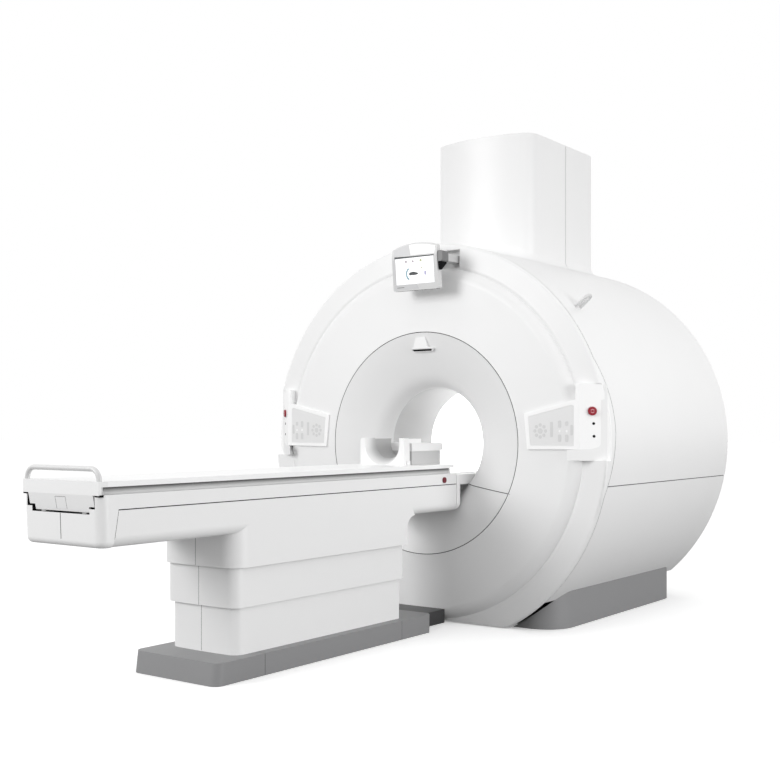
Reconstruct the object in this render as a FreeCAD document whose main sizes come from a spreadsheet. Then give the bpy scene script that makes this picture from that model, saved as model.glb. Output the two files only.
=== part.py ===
import FreeCAD, Part
import math
import os
import re
import Sketcher

# A whole-body magnetic resonance scanner with its patient table. X runs to the right as the
# table's foot end is faced, Y along the bore away from the table, Z up. The origin is on the
# floor under the centre of the magnet. Every body is drawn from the front ring plane (Y = 0)
# and then moved by half the magnet's length; magnet bodies are drawn about the bore's axis.

SIZES = [
    ("axis_height", 950, "bore axis above the floor"),
    ("magnet_half", 840, "front ring plane to the magnet centre"),
    ("cover_wall", 10, "thickness of the moulded covers"),
    ("seat_gap", 0.3, "clearance where one piece seats on another"),
    ("seam_width", 4, "open groove between two covers"),
    ("seam_depth", 6, "depth of that groove"),
    ("floor_gap", 6, "covers above the floor"),
    ("bore_radius", 300, "clear radius of the patient bore"),
    ("tube_wall", 6, "wall of the bore tubes"),
    ("front_tube_end", 539, "end of the grey front tube"),
    ("ring_radius", 594, "outer seam of the front funnel"),
    ("funnel_depth", 157, "depth of the front funnel"),
    ("funnel_knee_radius", 372, "radius where the funnel turns into the bore"),
    ("funnel_knee_depth", 68, "depth at that knee"),
    ("disc_radius", 882, "flat part of the front disc"),
    ("valley_radius", 944, "foot of the disc's rounded edge"),
    ("valley_depth", 36, "depth of the valley round the disc"),
    ("band_radius", 958, "inner edge of the flat rim band"),
    ("band_depth", 33, "depth of that edge"),
    ("barrel_radius", 1075, "outer radius of the barrel covers"),
    ("barrel_front", 62, "front seam of the barrel"),
    ("rim_depth", 38, "depth of the rim band's outer edge"),
    ("rim_round", 14, "rounding of that edge"),
    ("ear_high", 430, "upper end of the rim's side lobes over the axis"),
    ("ear_middle", 48, "deepest point of those lobes over the axis"),
    ("ear_low", 258, "lower end of the lobes under the axis"),
    ("ear_depth", 126, "depth of the lobes"),
    ("barrel_rear", 1681, "rear end of the barrel"),
    ("side_seam_drop", 205, "side seam of the barrel under the axis"),
    ("barrel_foot_drop", 800, "lower edge of the barrel covers under the axis"),
    ("rear_dome", 34, "bulge of the rear cover"),
    ("rear_funnel_depth", 157, "depth of the rear funnel"),
    ("liner_land", 28, "width of the flat land between the bore liner and the rear funnel"),
    ("vessel_radius", 895, "outer radius of the magnet vessel"),
    ("vessel_bore", 450, "warm bore of the magnet vessel"),
    ("vessel_front", 190, "front end of the vessel"),
    ("vessel_rear", 1490, "rear end of the vessel"),
    ("coil_inner", 345, "inner radius of the gradient coil"),
    ("foot_spacing", 780, "distance between the two feet along Y"),
    ("foot_length", 140, "length of a foot along Y"),
    ("foot_half", 495, "half width of a foot"),
    ("anchor_spacing", 900, "anchor bolts across the machine"),
    ("anchor_radius", 11, "radius of the anchor bolt holes"),
    ("anchor_flange", 30, "thickness of the bolted flange"),
    ("plinth_half", 762, "half width of the dark machine plinth"),
    ("plinth_front", 110, "front of the machine plinth"),
    ("plinth_rear", 1630, "rear of the machine plinth"),
    ("plinth_height", 212, "height of the machine plinth"),
    ("plinth_corner", 165, "corner radius of the machine plinth"),
    ("turret_half", 325, "half width of the service turret"),
    ("turret_front_y", 636, "front corners of the service turret"),
    ("turret_bow", 67, "bow of the turret's front"),
    ("turret_seam_y", 1033, "seam of the service turret"),
    ("turret_rear_y", 1436, "rear of the service turret"),
    ("turret_top", 1754, "top of the turret over the axis"),
    ("turret_corner", 92, "corner radius of the turret"),
    ("turret_flare", 55, "fillet of the turret's foot"),
    ("quench_radius", 100, "radius of the gas vent pipe"),
    ("vent_rise", 45, "gas vent pipe over the turret's cap"),
    ("vent_room", 12, "clearance round the gas vent pipe"),
    ("collar_step", 4, "the vent's outer collar stands proud of the pipe"),
    ("collar_foot", 5, "foot of that collar over the cap"),
    ("cold_radius", 60, "radius of the cold head"),
    ("screen_half", 122, "half width of the display screen"),
    ("screen_low", 843, "lower edge of the screen over the axis"),
    ("screen_high", 981, "upper edge of the screen over the axis"),
    ("display_left", -102, "left side of the display"),
    ("display_right", 186, "right side of the display"),
    ("display_low", 809, "underside of the display"),
    ("display_high", 1059, "top of the display"),
    ("display_depth", 36, "depth of the display"),
    ("display_front", -128, "front face of the display"),
    ("display_arch", 411, "radius of the display's arched top"),
    ("display_lean", 5.5, "forward lean of the display in degrees"),
    ("hinge_y", -111, "display hinge before the ring plane"),
    ("hinge_z", 972, "display hinge over the axis"),
    ("hinge_radius", 8, "radius of the display's hinge pin"),
    ("hinge_play", 0.05, "running clearance of that pin"),
    ("pod_low", 78, "lower end of the console pod under the axis"),
    ("pod_high", 300, "upper end of the console pod over the axis"),
    ("pod_proud", 9, "console pod in front of the disc"),
    ("pod_inner", 636, "inner end of the console pod"),
    ("pod_bend", 945, "where the pod bends round the rim"),
    ("pod_outer", 1057, "outer end of the pod"),
    ("pod_outer_depth", 75, "depth of that outer end"),
    ("notch_inner", 960, "inner side of the notch in the rim behind the pod"),
    ("notch_depth", 82, "back of that notch"),
    ("stop_radius", 21, "radius of the stop buttons"),
    ("stop_height", 165, "height of the stop buttons over the axis"),
    ("stop_travel", 4, "travel of the stop buttons"),
    ("table_height", 842, "top of the tabletop over the floor"),
    ("table_foot", 2353, "foot end of the tabletop before the ring plane"),
    ("table_head", 8, "head end of the tabletop before the ring plane"),
    ("top_half", 221, "half width of the tabletop"),
    ("top_lip", 20, "height of the tabletop's lip"),
    ("top_keel_half", 190, "half width of the tabletop's body"),
    ("top_thick", 50, "height of the whole tabletop"),
    ("cap_length", 43, "length of the tabletop's end cap"),
    ("cap_plate", 14, "full-width front plate of that cap"),
    ("frame_half", 230, "half width of the table's frame"),
    ("rail_drop", 48, "rail under the top of the tabletop"),
    ("rail_inner", 198, "half width between the rails"),
    ("step_inner", 170, "half width between the trough's steps"),
    ("side_seam", 739, "seam between rail and side cover"),
    ("frame_low", 598, "underside of the table's upper covers"),
    ("frame_corner", 42, "lower corner radius of these covers"),
    ("surround_seam", 2268, "seam between end cap and side cover"),
    ("seam_lean", 24, "lean of that seam towards the foot"),
    ("haunch_bend", 70, "hollow under the covers' head end"),
    ("skirt_low", 457, "lower edge of the upper skirt"),
    ("skirt_foot", 1662, "foot end of the upper skirt"),
    ("skirt_head", 454, "head end of the upper skirt"),
    ("skirt_corner", 85, "corner radius of the upper skirt"),
    ("middle_half", 210, "half width of the middle skirt"),
    ("middle_low", 289, "lower edge of the middle skirt"),
    ("middle_high", 505, "upper edge of the middle skirt"),
    ("middle_foot", 1643, "foot end of the middle skirt"),
    ("middle_head", 466, "head end of the middle skirt"),
    ("lower_half", 197, "half width of the lower skirt"),
    ("lower_high", 335, "upper edge of the lower skirt"),
    ("lower_foot", 1627, "foot end of the lower skirt"),
    ("lower_head", 476, "head end of the lower skirt"),
    ("skirt_bow", 8, "bow of the skirts' foot ends"),
    ("base_height", 92, "height of the table's dark plinth"),
    ("base_half", 250, "half width of the table's plinth"),
    ("base_foot", 1790, "foot end of the table's plinth at the floor"),
    ("base_rake", 12, "slope of that end"),
    ("base_foot_seam", 1503, "seam of the plinth's foot cap"),
    ("base_head_seam", 524, "seam of the plinth's head cap"),
    ("base_head", 260, "head end of the table's plinth"),
    ("base_corner", 40, "corner radius of the table's plinth"),
    ("column_width", 150, "outer width of a lifting column"),
    ("column_wall", 6, "wall of the column profiles"),
    ("column_play", 0.5, "clearance between two column profiles"),
    ("column_foot_y", 1400, "lifting column nearer the foot end"),
    ("column_head_y", 720, "lifting column nearer the magnet"),
    ("lift_travel", 310, "travel of the table's lift"),
    ("keel_low", 670, "underside of the frame's belt channel"),
    ("keel_half", 38, "half width of the belt channel"),
    ("frame_floor", 700, "underside of the frame"),
    ("pulley_radius", 18, "radius of the belt pulleys"),
    ("belt_thick", 2, "thickness of the drive belt"),
    ("belt_half", 12, "half width of the drive belt"),
    ("pulley_height", 698, "axis of the pulleys over the floor"),
    ("drive_y", 62, "drive pulley before the ring plane"),
    ("idler_y", 2200, "idler pulley before the ring plane"),
    ("nose_start", 4, "front of the bore bridge's nose"),
    ("bridge_drop", 163, "top of the bridge under the axis"),
    ("nose_end", 56, "back of the bridge's nose"),
    ("neck_low", 216, "underside of the neck behind the nose under the axis"),
    ("nose_low", 352, "underside of the nose under the axis"),
    ("handle_radius", 10, "radius of the grab handle's tube"),
    ("handle_half", 211, "half width of the grab handle"),
    ("handle_rise", 46, "grab handle over the tabletop"),
    ("handle_bend", 44, "bend radius of the grab handle"),
    ("eye_place", 230, "lifting eyes behind the ring plane"),
    ("eye_half", 24, "half distance between an eye's legs"),
    ("eye_rise", 86, "rise of a lifting eye"),
    ("eye_tube", 9, "radius of an eye's bar"),
    ("eye_angle", 40.6, "lifting eyes above the horizontal"),
    ("cradle_half", 140, "half width of the head cradle's front"),
    ("cradle_body", 115, "half width of the head cradle's body"),
    ("cradle_flare", 110, "radius of the trough at the front"),
    ("plug_half", 148, "half width of the coil connector's flange"),
    ("cradle_radius", 80, "radius of the cradle's trough"),
    ("cradle_height", 138, "height of the head cradle"),
    ("latch_half", 29, "half width of the release latch"),
]

V = FreeCAD.Vector
doc = FreeCAD.newDocument("scanner")
sheet = doc.addObject("Spreadsheet::Sheet", "dims")
for row, (alias, number, note) in enumerate(SIZES, start=1):
    sheet.set(f"A{row}", note)
    sheet.set(f"B{row}", str(number))
    sheet.setAlias(f"B{row}", alias)
doc.recompute()
gauge = doc.addObject("App::FeaturePython", "gauge")
gauge.addProperty("App::PropertyFloat", "Reading")
nodes = {}
spots = {}


def formula(text):
    """Points the sheet's names in a formula at the sheet."""
    return re.sub(r"\b[a-z]+(?:_[a-z]+)+\b", lambda found: "dims." + found.group(0), str(text))


def size(text):
    """Reads a formula of the sheet's sizes as a number."""
    gauge.setExpression("Reading", formula(text))
    gauge.recompute()
    return gauge.Reading


def bind(item, prop, text):
    item.setExpression(prop, formula(text))


def new_body(name):
    return doc.addObject("PartDesign::Body", name)


def origin_plane(body, role):
    return [part for part in body.Origin.OriginFeatures if part.Role == role][0]


def outline(body, role, points, start="0", arcs=None):
    """Sketches a closed outline through points on one of the body's own planes, moved by
    start along the plane's axis. A side listed in arcs is an arc of that radius, with its
    centre to the left of the way round, or to the right where the radius is negative."""
    arcs = arcs or {}
    sketch = body.newObject("Sketcher::SketchObject", body.Name + "_outline")
    sketch.AttachmentSupport = [(origin_plane(body, role), "")]
    sketch.MapMode = "FlatFace"
    bind(sketch, "AttachmentOffset.Base.z", f"-({start})" if role == "XZ_Plane" else start)
    corners = [V(size(x), size(y), 0) for x, y in points]
    bends = {side: size(radius) for side, radius in arcs.items()}
    count = len(points)
    for side in range(count):
        first = corners[side]
        last = corners[(side + 1) % count]
        if side not in bends:
            sketch.addGeometry(Part.LineSegment(first, last))
            continue
        run = last - first
        rise = math.sqrt(max(bends[side] ** 2 - run.Length ** 2 / 4, 0))
        across = V(-run.y, run.x, 0) / run.Length
        centre = (first + last) * 0.5 + across * math.copysign(rise, bends[side])
        if bends[side] < 0:
            first, last = last, first
        begin = math.atan2(first.y - centre.y, first.x - centre.x)
        end = math.atan2(last.y - centre.y, last.x - centre.x)
        circle = Part.Circle(centre, V(0, 0, 1), abs(bends[side]))
        sketch.addGeometry(Part.ArcOfCircle(circle, begin, end))

    def tail(side):
        return 2 if bends.get(side, 1) < 0 else 1

    for side in range(count):
        after = (side + 1) % count
        sketch.addConstraint(
            Sketcher.Constraint("Coincident", side, 3 - tail(side), after, tail(after)))
    for side, pair in enumerate(points):
        for kind, text, axis in zip(("DistanceX", "DistanceY"), pair, (-2, -1)):
            if text == "0":
                sketch.addConstraint(
                    Sketcher.Constraint("PointOnObject", side, tail(side), axis))
                continue
            number = sketch.addConstraint(
                Sketcher.Constraint(kind, -1, 1, side, tail(side), size(text)))
            bind(sketch, f"Constraints[{number}]", text)
    for side, radius in arcs.items():
        number = sketch.addConstraint(Sketcher.Constraint("Radius", side, abs(bends[side])))
        bind(sketch, f"Constraints[{number}]", f"abs({radius})")
    return sketch


def pad(body, role, points, start, length, arcs=None, cut=False):
    """Pads the outline from start over length along the plane's axis, or pockets it."""
    sketch = outline(body, role, points, start, arcs)
    feature = body.newObject("PartDesign::Pocket" if cut else "PartDesign::Pad", "along")
    feature.Profile = sketch
    bind(feature, "Length", length)
    feature.Reversed = (role == "XZ_Plane") != cut
    return feature


def turn(body, points, arcs=None, cut=False):
    """Revolves an outline of radius and depth pairs about the bore's axis."""
    sketch = outline(body, "XY_Plane", points, "0", arcs)
    feature = body.newObject("PartDesign::Groove" if cut else "PartDesign::Revolution", "turned")
    feature.Profile = sketch
    feature.ReferenceAxis = (sketch, ["V_Axis"])
    feature.Angle = 360
    return feature


def rectangle(x_low, x_high, y_low, y_high):
    return [(x_low, y_low), (x_high, y_low), (x_high, y_high), (x_low, y_high)]


def edges_where(feature, test):
    doc.recompute()
    return [f"Edge{n}" for n, edge in enumerate(feature.Shape.Edges, start=1) if test(edge)]


def upright(edge):
    ends = [vertex.Point for vertex in edge.Vertexes]
    return len(ends) == 2 and abs(ends[0].x - ends[1].x) + abs(ends[0].y - ends[1].y) < 0.01


def along_y(edge):
    ends = [vertex.Point for vertex in edge.Vertexes]
    return len(ends) == 2 and abs(ends[0].x - ends[1].x) + abs(ends[0].z - ends[1].z) < 0.01


def along_x(edge):
    ends = [vertex.Point for vertex in edge.Vertexes]
    return len(ends) == 2 and abs(ends[0].y - ends[1].y) + abs(ends[0].z - ends[1].z) < 0.01


def middle(edge):
    return edge.valueAt((edge.FirstParameter + edge.LastParameter) / 2)


def fillet(body, feature, radius, test, kind="PartDesign::Fillet"):
    names = edges_where(feature, test)
    rounding = body.newObject(kind, "rounding")
    rounding.Base = (feature, names)
    bind(rounding, "Radius" if kind.endswith("Fillet") else "Size", radius)
    return rounding


def block(name, x_low, x_high, y_low, y_high, z_low, z_high):
    """A plain box between six faces, each given by a formula."""
    box = doc.addObject("Part::Box", name)
    spots[box.Name] = (y_low, z_low)
    for prop, low, high in (("x", x_low, x_high), ("y", y_low, y_high), ("z", z_low, z_high)):
        bind(box, f"Placement.Base.{prop}", low)
    bind(box, "Length", f"({x_high}) - ({x_low})")
    bind(box, "Width", f"({y_high}) - ({y_low})")
    bind(box, "Height", f"({z_high}) - ({z_low})")
    return box


def rod(name, radius, length, x, y, z, direction="y"):
    """A cylinder that starts at a point and runs along one axis."""
    cylinder = doc.addObject("Part::Cylinder", name)
    spots[cylinder.Name] = (y, z)
    bind(cylinder, "Radius", radius)
    bind(cylinder, "Height", length)
    turns = {"x": (V(0, 1, 0), 90), "y": (V(1, 0, 0), -90), "z": (V(0, 0, 1), 0)}
    cylinder.Placement = FreeCAD.Placement(V(0, 0, 0), FreeCAD.Rotation(*turns[direction]))
    bind(cylinder, "Placement.Base.x", x)
    bind(cylinder, "Placement.Base.y", y)
    bind(cylinder, "Placement.Base.z", z)
    return cylinder


def cut(name, base, tool):
    result = doc.addObject("Part::Cut", name)
    result.Base = base
    result.Tool = tool
    return result


def common(name, base, tool):
    result = doc.addObject("Part::Common", name)
    result.Base = base
    result.Tool = tool
    return result


def fuse(name, *shapes):
    result = doc.addObject("Part::MultiFuse", name)
    result.Shapes = list(shapes)
    return result


def hoop(name, role, near, far, low, high, bend, radius, across):
    """Bends a round tube into an upright hoop with two legs, in a plane across the other axis."""
    body = new_body(name)
    path = body.newObject("Sketcher::SketchObject", name + "_path")
    path.AttachmentSupport = [(origin_plane(body, role), "")]
    path.MapMode = "FlatFace"
    bind(path, "AttachmentOffset.Base.z", f"-({across})" if role == "XZ_Plane" else across)
    left, right, foot, top, arc = (size(text) for text in (near, far, low, high, bend))
    path.addGeometry(Part.LineSegment(V(left, foot, 0), V(left, top - arc, 0)))
    path.addGeometry(Part.ArcOfCircle(
        Part.Circle(V(left + arc, top - arc, 0), V(0, 0, 1), arc), math.pi / 2, math.pi))
    path.addGeometry(Part.LineSegment(V(left + arc, top, 0), V(right - arc, top, 0)))
    path.addGeometry(Part.ArcOfCircle(
        Part.Circle(V(right - arc, top - arc, 0), V(0, 0, 1), arc), 0, math.pi / 2))
    path.addGeometry(Part.LineSegment(V(right, top - arc, 0), V(right, foot, 0)))
    for joint in ((0, 2, 1, 2), (1, 1, 2, 1), (2, 2, 3, 2), (3, 1, 4, 1)):
        path.addConstraint(Sketcher.Constraint("Tangent", *joint))
    path.addConstraint(Sketcher.Constraint("Vertical", 0))
    path.addConstraint(Sketcher.Constraint("Vertical", 4))
    for kind, item, end, text in (("DistanceX", 0, 1, near), ("DistanceY", 0, 1, low),
                                  ("DistanceX", 4, 2, far), ("DistanceY", 4, 2, low),
                                  ("DistanceY", 2, 1, high)):
        number = path.addConstraint(Sketcher.Constraint(kind, -1, 1, item, end, size(text)))
        bind(path, f"Constraints[{number}]", text)
    for item in (1, 3):
        number = path.addConstraint(Sketcher.Constraint("Radius", item, arc))
        bind(path, f"Constraints[{number}]", bend)
    ring = body.newObject("Sketcher::SketchObject", name + "_ring")
    ring.AttachmentSupport = [(origin_plane(body, "XY_Plane"), "")]
    ring.MapMode = "FlatFace"
    along, side = ("x", "y") if role == "XZ_Plane" else ("y", "x")
    bind(ring, f"AttachmentOffset.Base.{along}", near)
    bind(ring, f"AttachmentOffset.Base.{side}", across)
    bind(ring, "AttachmentOffset.Base.z", low)
    ring.addGeometry(Part.Circle(V(0, 0, 0), V(0, 0, 1), size(radius)))
    ring.addConstraint(Sketcher.Constraint("Coincident", 0, 3, -1, 1))
    number = ring.addConstraint(Sketcher.Constraint("Radius", 0, size(radius)))
    bind(ring, f"Constraints[{number}]", radius)
    pipe = body.newObject("PartDesign::AdditivePipe", name + "_tube")
    pipe.Profile = ring
    pipe.Spine = path
    return body


def on_magnet(item, label):
    """Places a finished piece that was drawn about the bore's axis."""
    y, z = spots.get(item.Name, ("0", "0"))
    bind(item, "Placement.Base.y", f"{y} - magnet_half")
    bind(item, "Placement.Base.z", f"{z} + axis_height")
    item.Label = label
    nodes[label] = item


def on_floor(item, label):
    """Places a finished piece that was drawn from the floor."""
    y, z = spots.get(item.Name, ("0", "0"))
    bind(item, "Placement.Base.y", f"{y} - magnet_half")
    bind(item, "Placement.Base.z", z)
    item.Label = label
    nodes[label] = item


def mirror(source, label):
    """Adds the left-hand piece of a pair."""
    other = doc.addObject("Part::Mirroring", label + "_mirror")
    other.Source = source
    other.Normal = V(1, 0, 0)
    other.Label = label
    nodes[label] = other


# ---------------------------------------------------------------- front disc, rim and funnel
front_raw = new_body("front_raw")
turn(front_raw, [
    ("ring_radius + seam_width", "0"),
    ("disc_radius", "0"),
    ("valley_radius", "valley_depth"),
    ("band_radius", "band_depth"),
    ("barrel_radius - rim_round", "rim_depth"),
    ("barrel_radius", "rim_depth + rim_round"),
    ("barrel_radius", "barrel_front - seam_width"),
    ("barrel_radius - seam_depth", "barrel_front - seam_width"),
    ("barrel_radius - seam_depth", "barrel_front - seat_gap"),
    ("barrel_radius - 2 * cover_wall", "barrel_front - seat_gap"),
    ("band_radius", "band_depth + 2 * cover_wall"),
    ("disc_radius", "2 * cover_wall"),
    ("ring_radius + seat_gap", "2 * cover_wall"),
    ("ring_radius + seat_gap", "seam_depth"),
    ("ring_radius + seam_width", "seam_depth"),
], {1: "75", 4: "rim_round"})
under_floor = block("under_floor", "-1500", "1500", "-500", "2500", "-1500",
                    "floor_gap - axis_height")
display_recess = block("display_recess", "104", "222", "-20", "72", "930", "1026")
recess_tub = block("recess_tub", "98", "228", "20", "78", "924", "1032")
front_solid = new_body("front_solid")
turn(front_solid, [
    ("0", "-seat_gap"),
    ("disc_radius", "-seat_gap"),
    ("valley_radius", "valley_depth - seat_gap"),
    ("band_radius", "band_depth - seat_gap"),
    ("barrel_radius - rim_round", "rim_depth - seat_gap"),
    ("barrel_radius", "rim_depth + rim_round - seat_gap"),
    ("barrel_radius", "400"),
    ("0", "400"),
], {1: "75", 4: "rim_round"})


def lobe(name, shift, first="rim_depth + rim_round + 1"):
    """The outline of the rim's side lobes as a bar across the whole machine."""
    body = new_body(name)
    start = f"barrel_front - seam_width + {shift}"
    pad(body, "YZ_Plane", [
        (first, "-ear_low"), (start, "-ear_low"), (f"ear_depth + {shift}", "ear_middle"),
        (start, "ear_high"), (first, "ear_high")], "-1200", "2400", {1: "1545", 2: "888"})
    return body


lobe_skin = new_body("lobe_skin")
turn(lobe_skin, rectangle("barrel_radius - seam_depth - 1", "barrel_radius",
                          "rim_depth + rim_round", "ear_depth + 40"))
lobe_back = new_body("lobe_back")
turn(lobe_back, rectangle("barrel_radius - 2 * cover_wall", "barrel_radius - seam_depth",
                          "rim_depth + rim_round", "ear_depth + 40"))
lobes = fuse("lobes", common("lobe_outer", lobe_skin, lobe("lobe_edge", "0")),
             common("lobe_inner", lobe_back, lobe("lobe_tail", "seam_width - seat_gap")))
front_open = cut("front_open", front_raw, under_floor)
front_tub = fuse("front_tub", front_open, lobes, common("tub_shape", recess_tub, front_solid))
notches = [block(f"notch_{n}", low, high, "-60", "notch_depth", "-pod_low - seat_gap",
                 "pod_high + seat_gap")
           for n, (low, high) in enumerate((("-1200", "-notch_inner"), ("notch_inner", "1200")))]
on_magnet(cut("front_cover_cut", front_tub, fuse("front_tools", display_recess, *notches)),
          "front_cover")

FUNNEL = [
    ("ring_radius", "0"),
    ("ring_radius", "2 * cover_wall"),
    ("funnel_knee_radius + cover_wall", "funnel_knee_depth + cover_wall"),
    ("bore_radius + cover_wall", "funnel_depth"),
    ("bore_radius", "funnel_depth"),
    ("funnel_knee_radius", "funnel_knee_depth"),
]
funnel_upper = new_body("funnel_upper_body")
turn(funnel_upper, FUNNEL, {4: "128", 5: "900"})
pad(funnel_upper, "XZ_Plane", [
    ("-700", "-271.6"), ("-180", "-209.7"), ("180", "-209.7"), ("700", "-271.6"),
    ("700", "-900"), ("-700", "-900")], "-100", "500", cut=True)
funnel_lower = new_body("funnel_lower_body")
turn(funnel_lower, FUNNEL, {4: "128", 5: "900"})
pad(funnel_lower, "XZ_Plane", [
    ("-700", "-275.6"), ("-180", "-213.7"), ("180", "-213.7"), ("700", "-275.6"),
    ("700", "900"), ("-700", "900")], "-100", "500", cut=True)
for half_funnel in (funnel_upper, funnel_lower):
    pad(half_funnel, "XZ_Plane", [
        ("-frame_half - seat_gap", "-100"),
        ("-frame_half - seat_gap", "-nose_low + frame_corner"),
        ("-frame_half + frame_corner", "-nose_low - seat_gap"),
        ("frame_half - frame_corner", "-nose_low - seat_gap"),
        ("frame_half + seat_gap", "-nose_low + frame_corner"),
        ("frame_half + seat_gap", "-100"),
    ], "-50", "nose_end + 50 + seat_gap",
        {1: "frame_corner + seat_gap", 3: "frame_corner + seat_gap"}, cut=True)
    pad(half_funnel, "XZ_Plane", rectangle(
        "-frame_half - seat_gap", "frame_half + seat_gap", "-neck_low - seat_gap", "-101"),
        "-50", "funnel_depth + 50 + seat_gap", cut=True)
on_magnet(funnel_upper, "funnel_upper")
on_magnet(funnel_lower, "funnel_lower")

nose = new_body("nose")
nose_pad = pad(nose, "XZ_Plane", rectangle(
    "-frame_half", "frame_half", "-nose_low", "-bridge_drop"), "-nose_start",
    "nose_end + nose_start")
nose_side = fillet(nose, nose_pad, "frame_corner",
                   lambda edge: along_y(edge) and middle(edge).z < size("-nose_low + 1"))
fillet(nose, nose_side, "38", lambda edge: middle(edge).y > size("nose_end - 1")
       and middle(edge).z < size("-neck_low - 5"))
neck = block("neck", "-frame_half", "frame_half", "nose_end - 30", "funnel_depth",
             "-neck_low", "-bridge_drop")

# ---------------------------------------------------------------- bore tubes, coils, vessel
tube_front = new_body("tube_front")
turn(tube_front, rectangle("bore_radius", "bore_radius + tube_wall",
                           "funnel_depth + seat_gap", "front_tube_end"))
on_magnet(tube_front, "bore_front_tube")
liner = new_body("liner")
turn(liner, [
    ("bore_radius", "front_tube_end + seat_gap"),
    ("bore_radius + tube_wall", "front_tube_end + seat_gap"),
    ("bore_radius + tube_wall", "barrel_rear - rear_funnel_depth - seat_gap - tube_wall"),
    ("bore_radius + liner_land + cover_wall",
     "barrel_rear - rear_funnel_depth - seat_gap - tube_wall"),
    ("bore_radius + liner_land + cover_wall", "barrel_rear - rear_funnel_depth - seat_gap"),
    ("bore_radius", "barrel_rear - rear_funnel_depth - seat_gap"),
])
on_magnet(liner, "bore_liner")
body_coil = new_body("body_coil_body")
turn(body_coil, [
    ("bore_radius + tube_wall + seat_gap", "vessel_front + 110"),
    ("coil_inner - seat_gap", "vessel_front + 110"),
    ("coil_inner - seat_gap", "vessel_front + 140"),
    ("bore_radius + tube_wall + 14", "vessel_front + 140"),
    ("bore_radius + tube_wall + 14", "vessel_rear - 140"),
    ("coil_inner - seat_gap", "vessel_rear - 140"),
    ("coil_inner - seat_gap", "vessel_rear - 110"),
    ("bore_radius + tube_wall + seat_gap", "vessel_rear - 110"),
])
on_magnet(body_coil, "body_coil")
gradient = new_body("gradient_body")
turn(gradient, rectangle("coil_inner", "vessel_bore - seat_gap", "vessel_front + 10",
                         "vessel_rear - 10"))
on_magnet(gradient, "gradient_coil")
vessel = new_body("vessel_body")
turn(vessel, [
    ("vessel_bore", "vessel_front"),
    ("vessel_radius - 40", "vessel_front"),
    ("vessel_radius", "vessel_front + 40"),
    ("vessel_radius", "vessel_rear - 40"),
    ("vessel_radius - 40", "vessel_rear"),
    ("vessel_bore", "vessel_rear"),
], {1: "40", 3: "40"})
on_magnet(vessel, "magnet_vessel")

bridge_disc = rod("bridge_disc", "bore_radius - seat_gap",
                  "barrel_rear - 2 * funnel_depth", "0", "funnel_depth", "0")
bridge_box = block("bridge_box", "-frame_half", "frame_half", "0", "barrel_rear",
                   "-bore_radius", "-bridge_drop")
bridge_core = common("bridge_core", bridge_disc, bridge_box)
bore_space = rod("bore_space", "bore_radius", "2 * funnel_depth", "0", "0", "0")
runner_left = block("runner_left", "-170", "-150", "20", "barrel_rear - 200",
                    "-bridge_drop - 1", "-bridge_drop + 4.5")
runner_right = block("runner_right", "150", "170", "20", "barrel_rear - 200",
                     "-bridge_drop - 1", "-bridge_drop + 4.5")
on_magnet(fuse("bridge_fuse", bridge_core, nose, neck, runner_left, runner_right), "bore_bridge")

# ---------------------------------------------------------------- barrel and rear covers
barrel = new_body("barrel")
turn(barrel, [
    ("barrel_radius", "barrel_front"),
    ("barrel_radius", "barrel_rear - 14"),
    ("barrel_radius - 14", "barrel_rear"),
    ("barrel_radius - 24", "barrel_rear"),
    ("barrel_radius - cover_wall", "barrel_rear - 34"),
    ("barrel_radius - cover_wall", "barrel_front"),
], {1: "14"})
barrel_shell = cut("barrel_shell", barrel, lobe("lobe_room", "seam_width", "0"))
service_hole = block("service_hole", "-turret_half + 70", "turret_half - 70",
                     "turret_front_y + 80", "turret_rear_y - 60", "900", "1200")
upper_region = block("upper_region", "-1200", "1200", "0", "1800",
                     "-side_seam_drop + seam_width / 2", "1200")
barrel_top = common("barrel_top", barrel_shell, upper_region)
on_magnet(cut("barrel_top_cut", barrel_top, service_hole), "barrel_cover_upper")
lower_region = block("lower_region", "0", "1200", "0", "1800", "-barrel_foot_drop",
                     "-side_seam_drop - seam_width / 2")
lower_right = common("lower_right", barrel_shell, lower_region)
tongue = new_body("tongue")
turn(tongue, rectangle("barrel_radius - 2 * cover_wall", "barrel_radius - cover_wall - seat_gap",
                       "barrel_front + 40", "barrel_rear - 40"))
tongue_high = common("tongue_high", tongue, block(
    "tongue_region", "0", "1200", "0", "1800", "-side_seam_drop - 24", "-side_seam_drop + 16"))
tongue_root = new_body("tongue_root")
turn(tongue_root, rectangle("barrel_radius - cover_wall - 2", "barrel_radius - cover_wall + 2",
                            "barrel_front + 40", "barrel_rear - 40"))
tongue_low = common("tongue_low", tongue_root, block(
    "root_region", "0", "1200", "0", "1800", "-side_seam_drop - 24", "-side_seam_drop - 4"))
on_magnet(fuse("lower_right_fuse", lower_right, tongue_high, tongue_low), "barrel_cover_right")
mirror(nodes["barrel_cover_right"], "barrel_cover_left")

rear_raw = new_body("rear_raw")
turn(rear_raw, [
    ("barrel_radius - 24 - seat_gap", "barrel_rear"),
    ("ring_radius + 60", "barrel_rear + rear_dome"),
    ("ring_radius", "barrel_rear + rear_dome"),
    ("bore_radius + liner_land + 60", "barrel_rear - 60"),
    ("bore_radius + liner_land", "barrel_rear - rear_funnel_depth"),
    ("bore_radius + liner_land + cover_wall", "barrel_rear - rear_funnel_depth"),
    ("bore_radius + liner_land + 60 + cover_wall", "barrel_rear - 60 - cover_wall"),
    ("ring_radius", "barrel_rear + rear_dome - 2 * cover_wall"),
    ("ring_radius + 60", "barrel_rear + rear_dome - 2 * cover_wall"),
    ("barrel_radius - 24 - seat_gap", "barrel_rear - cover_wall"),
], {0: "1500", 3: "170", 8: "-1500"})
on_magnet(cut("rear_cover_cut", rear_raw, under_floor), "rear_cover")

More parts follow.
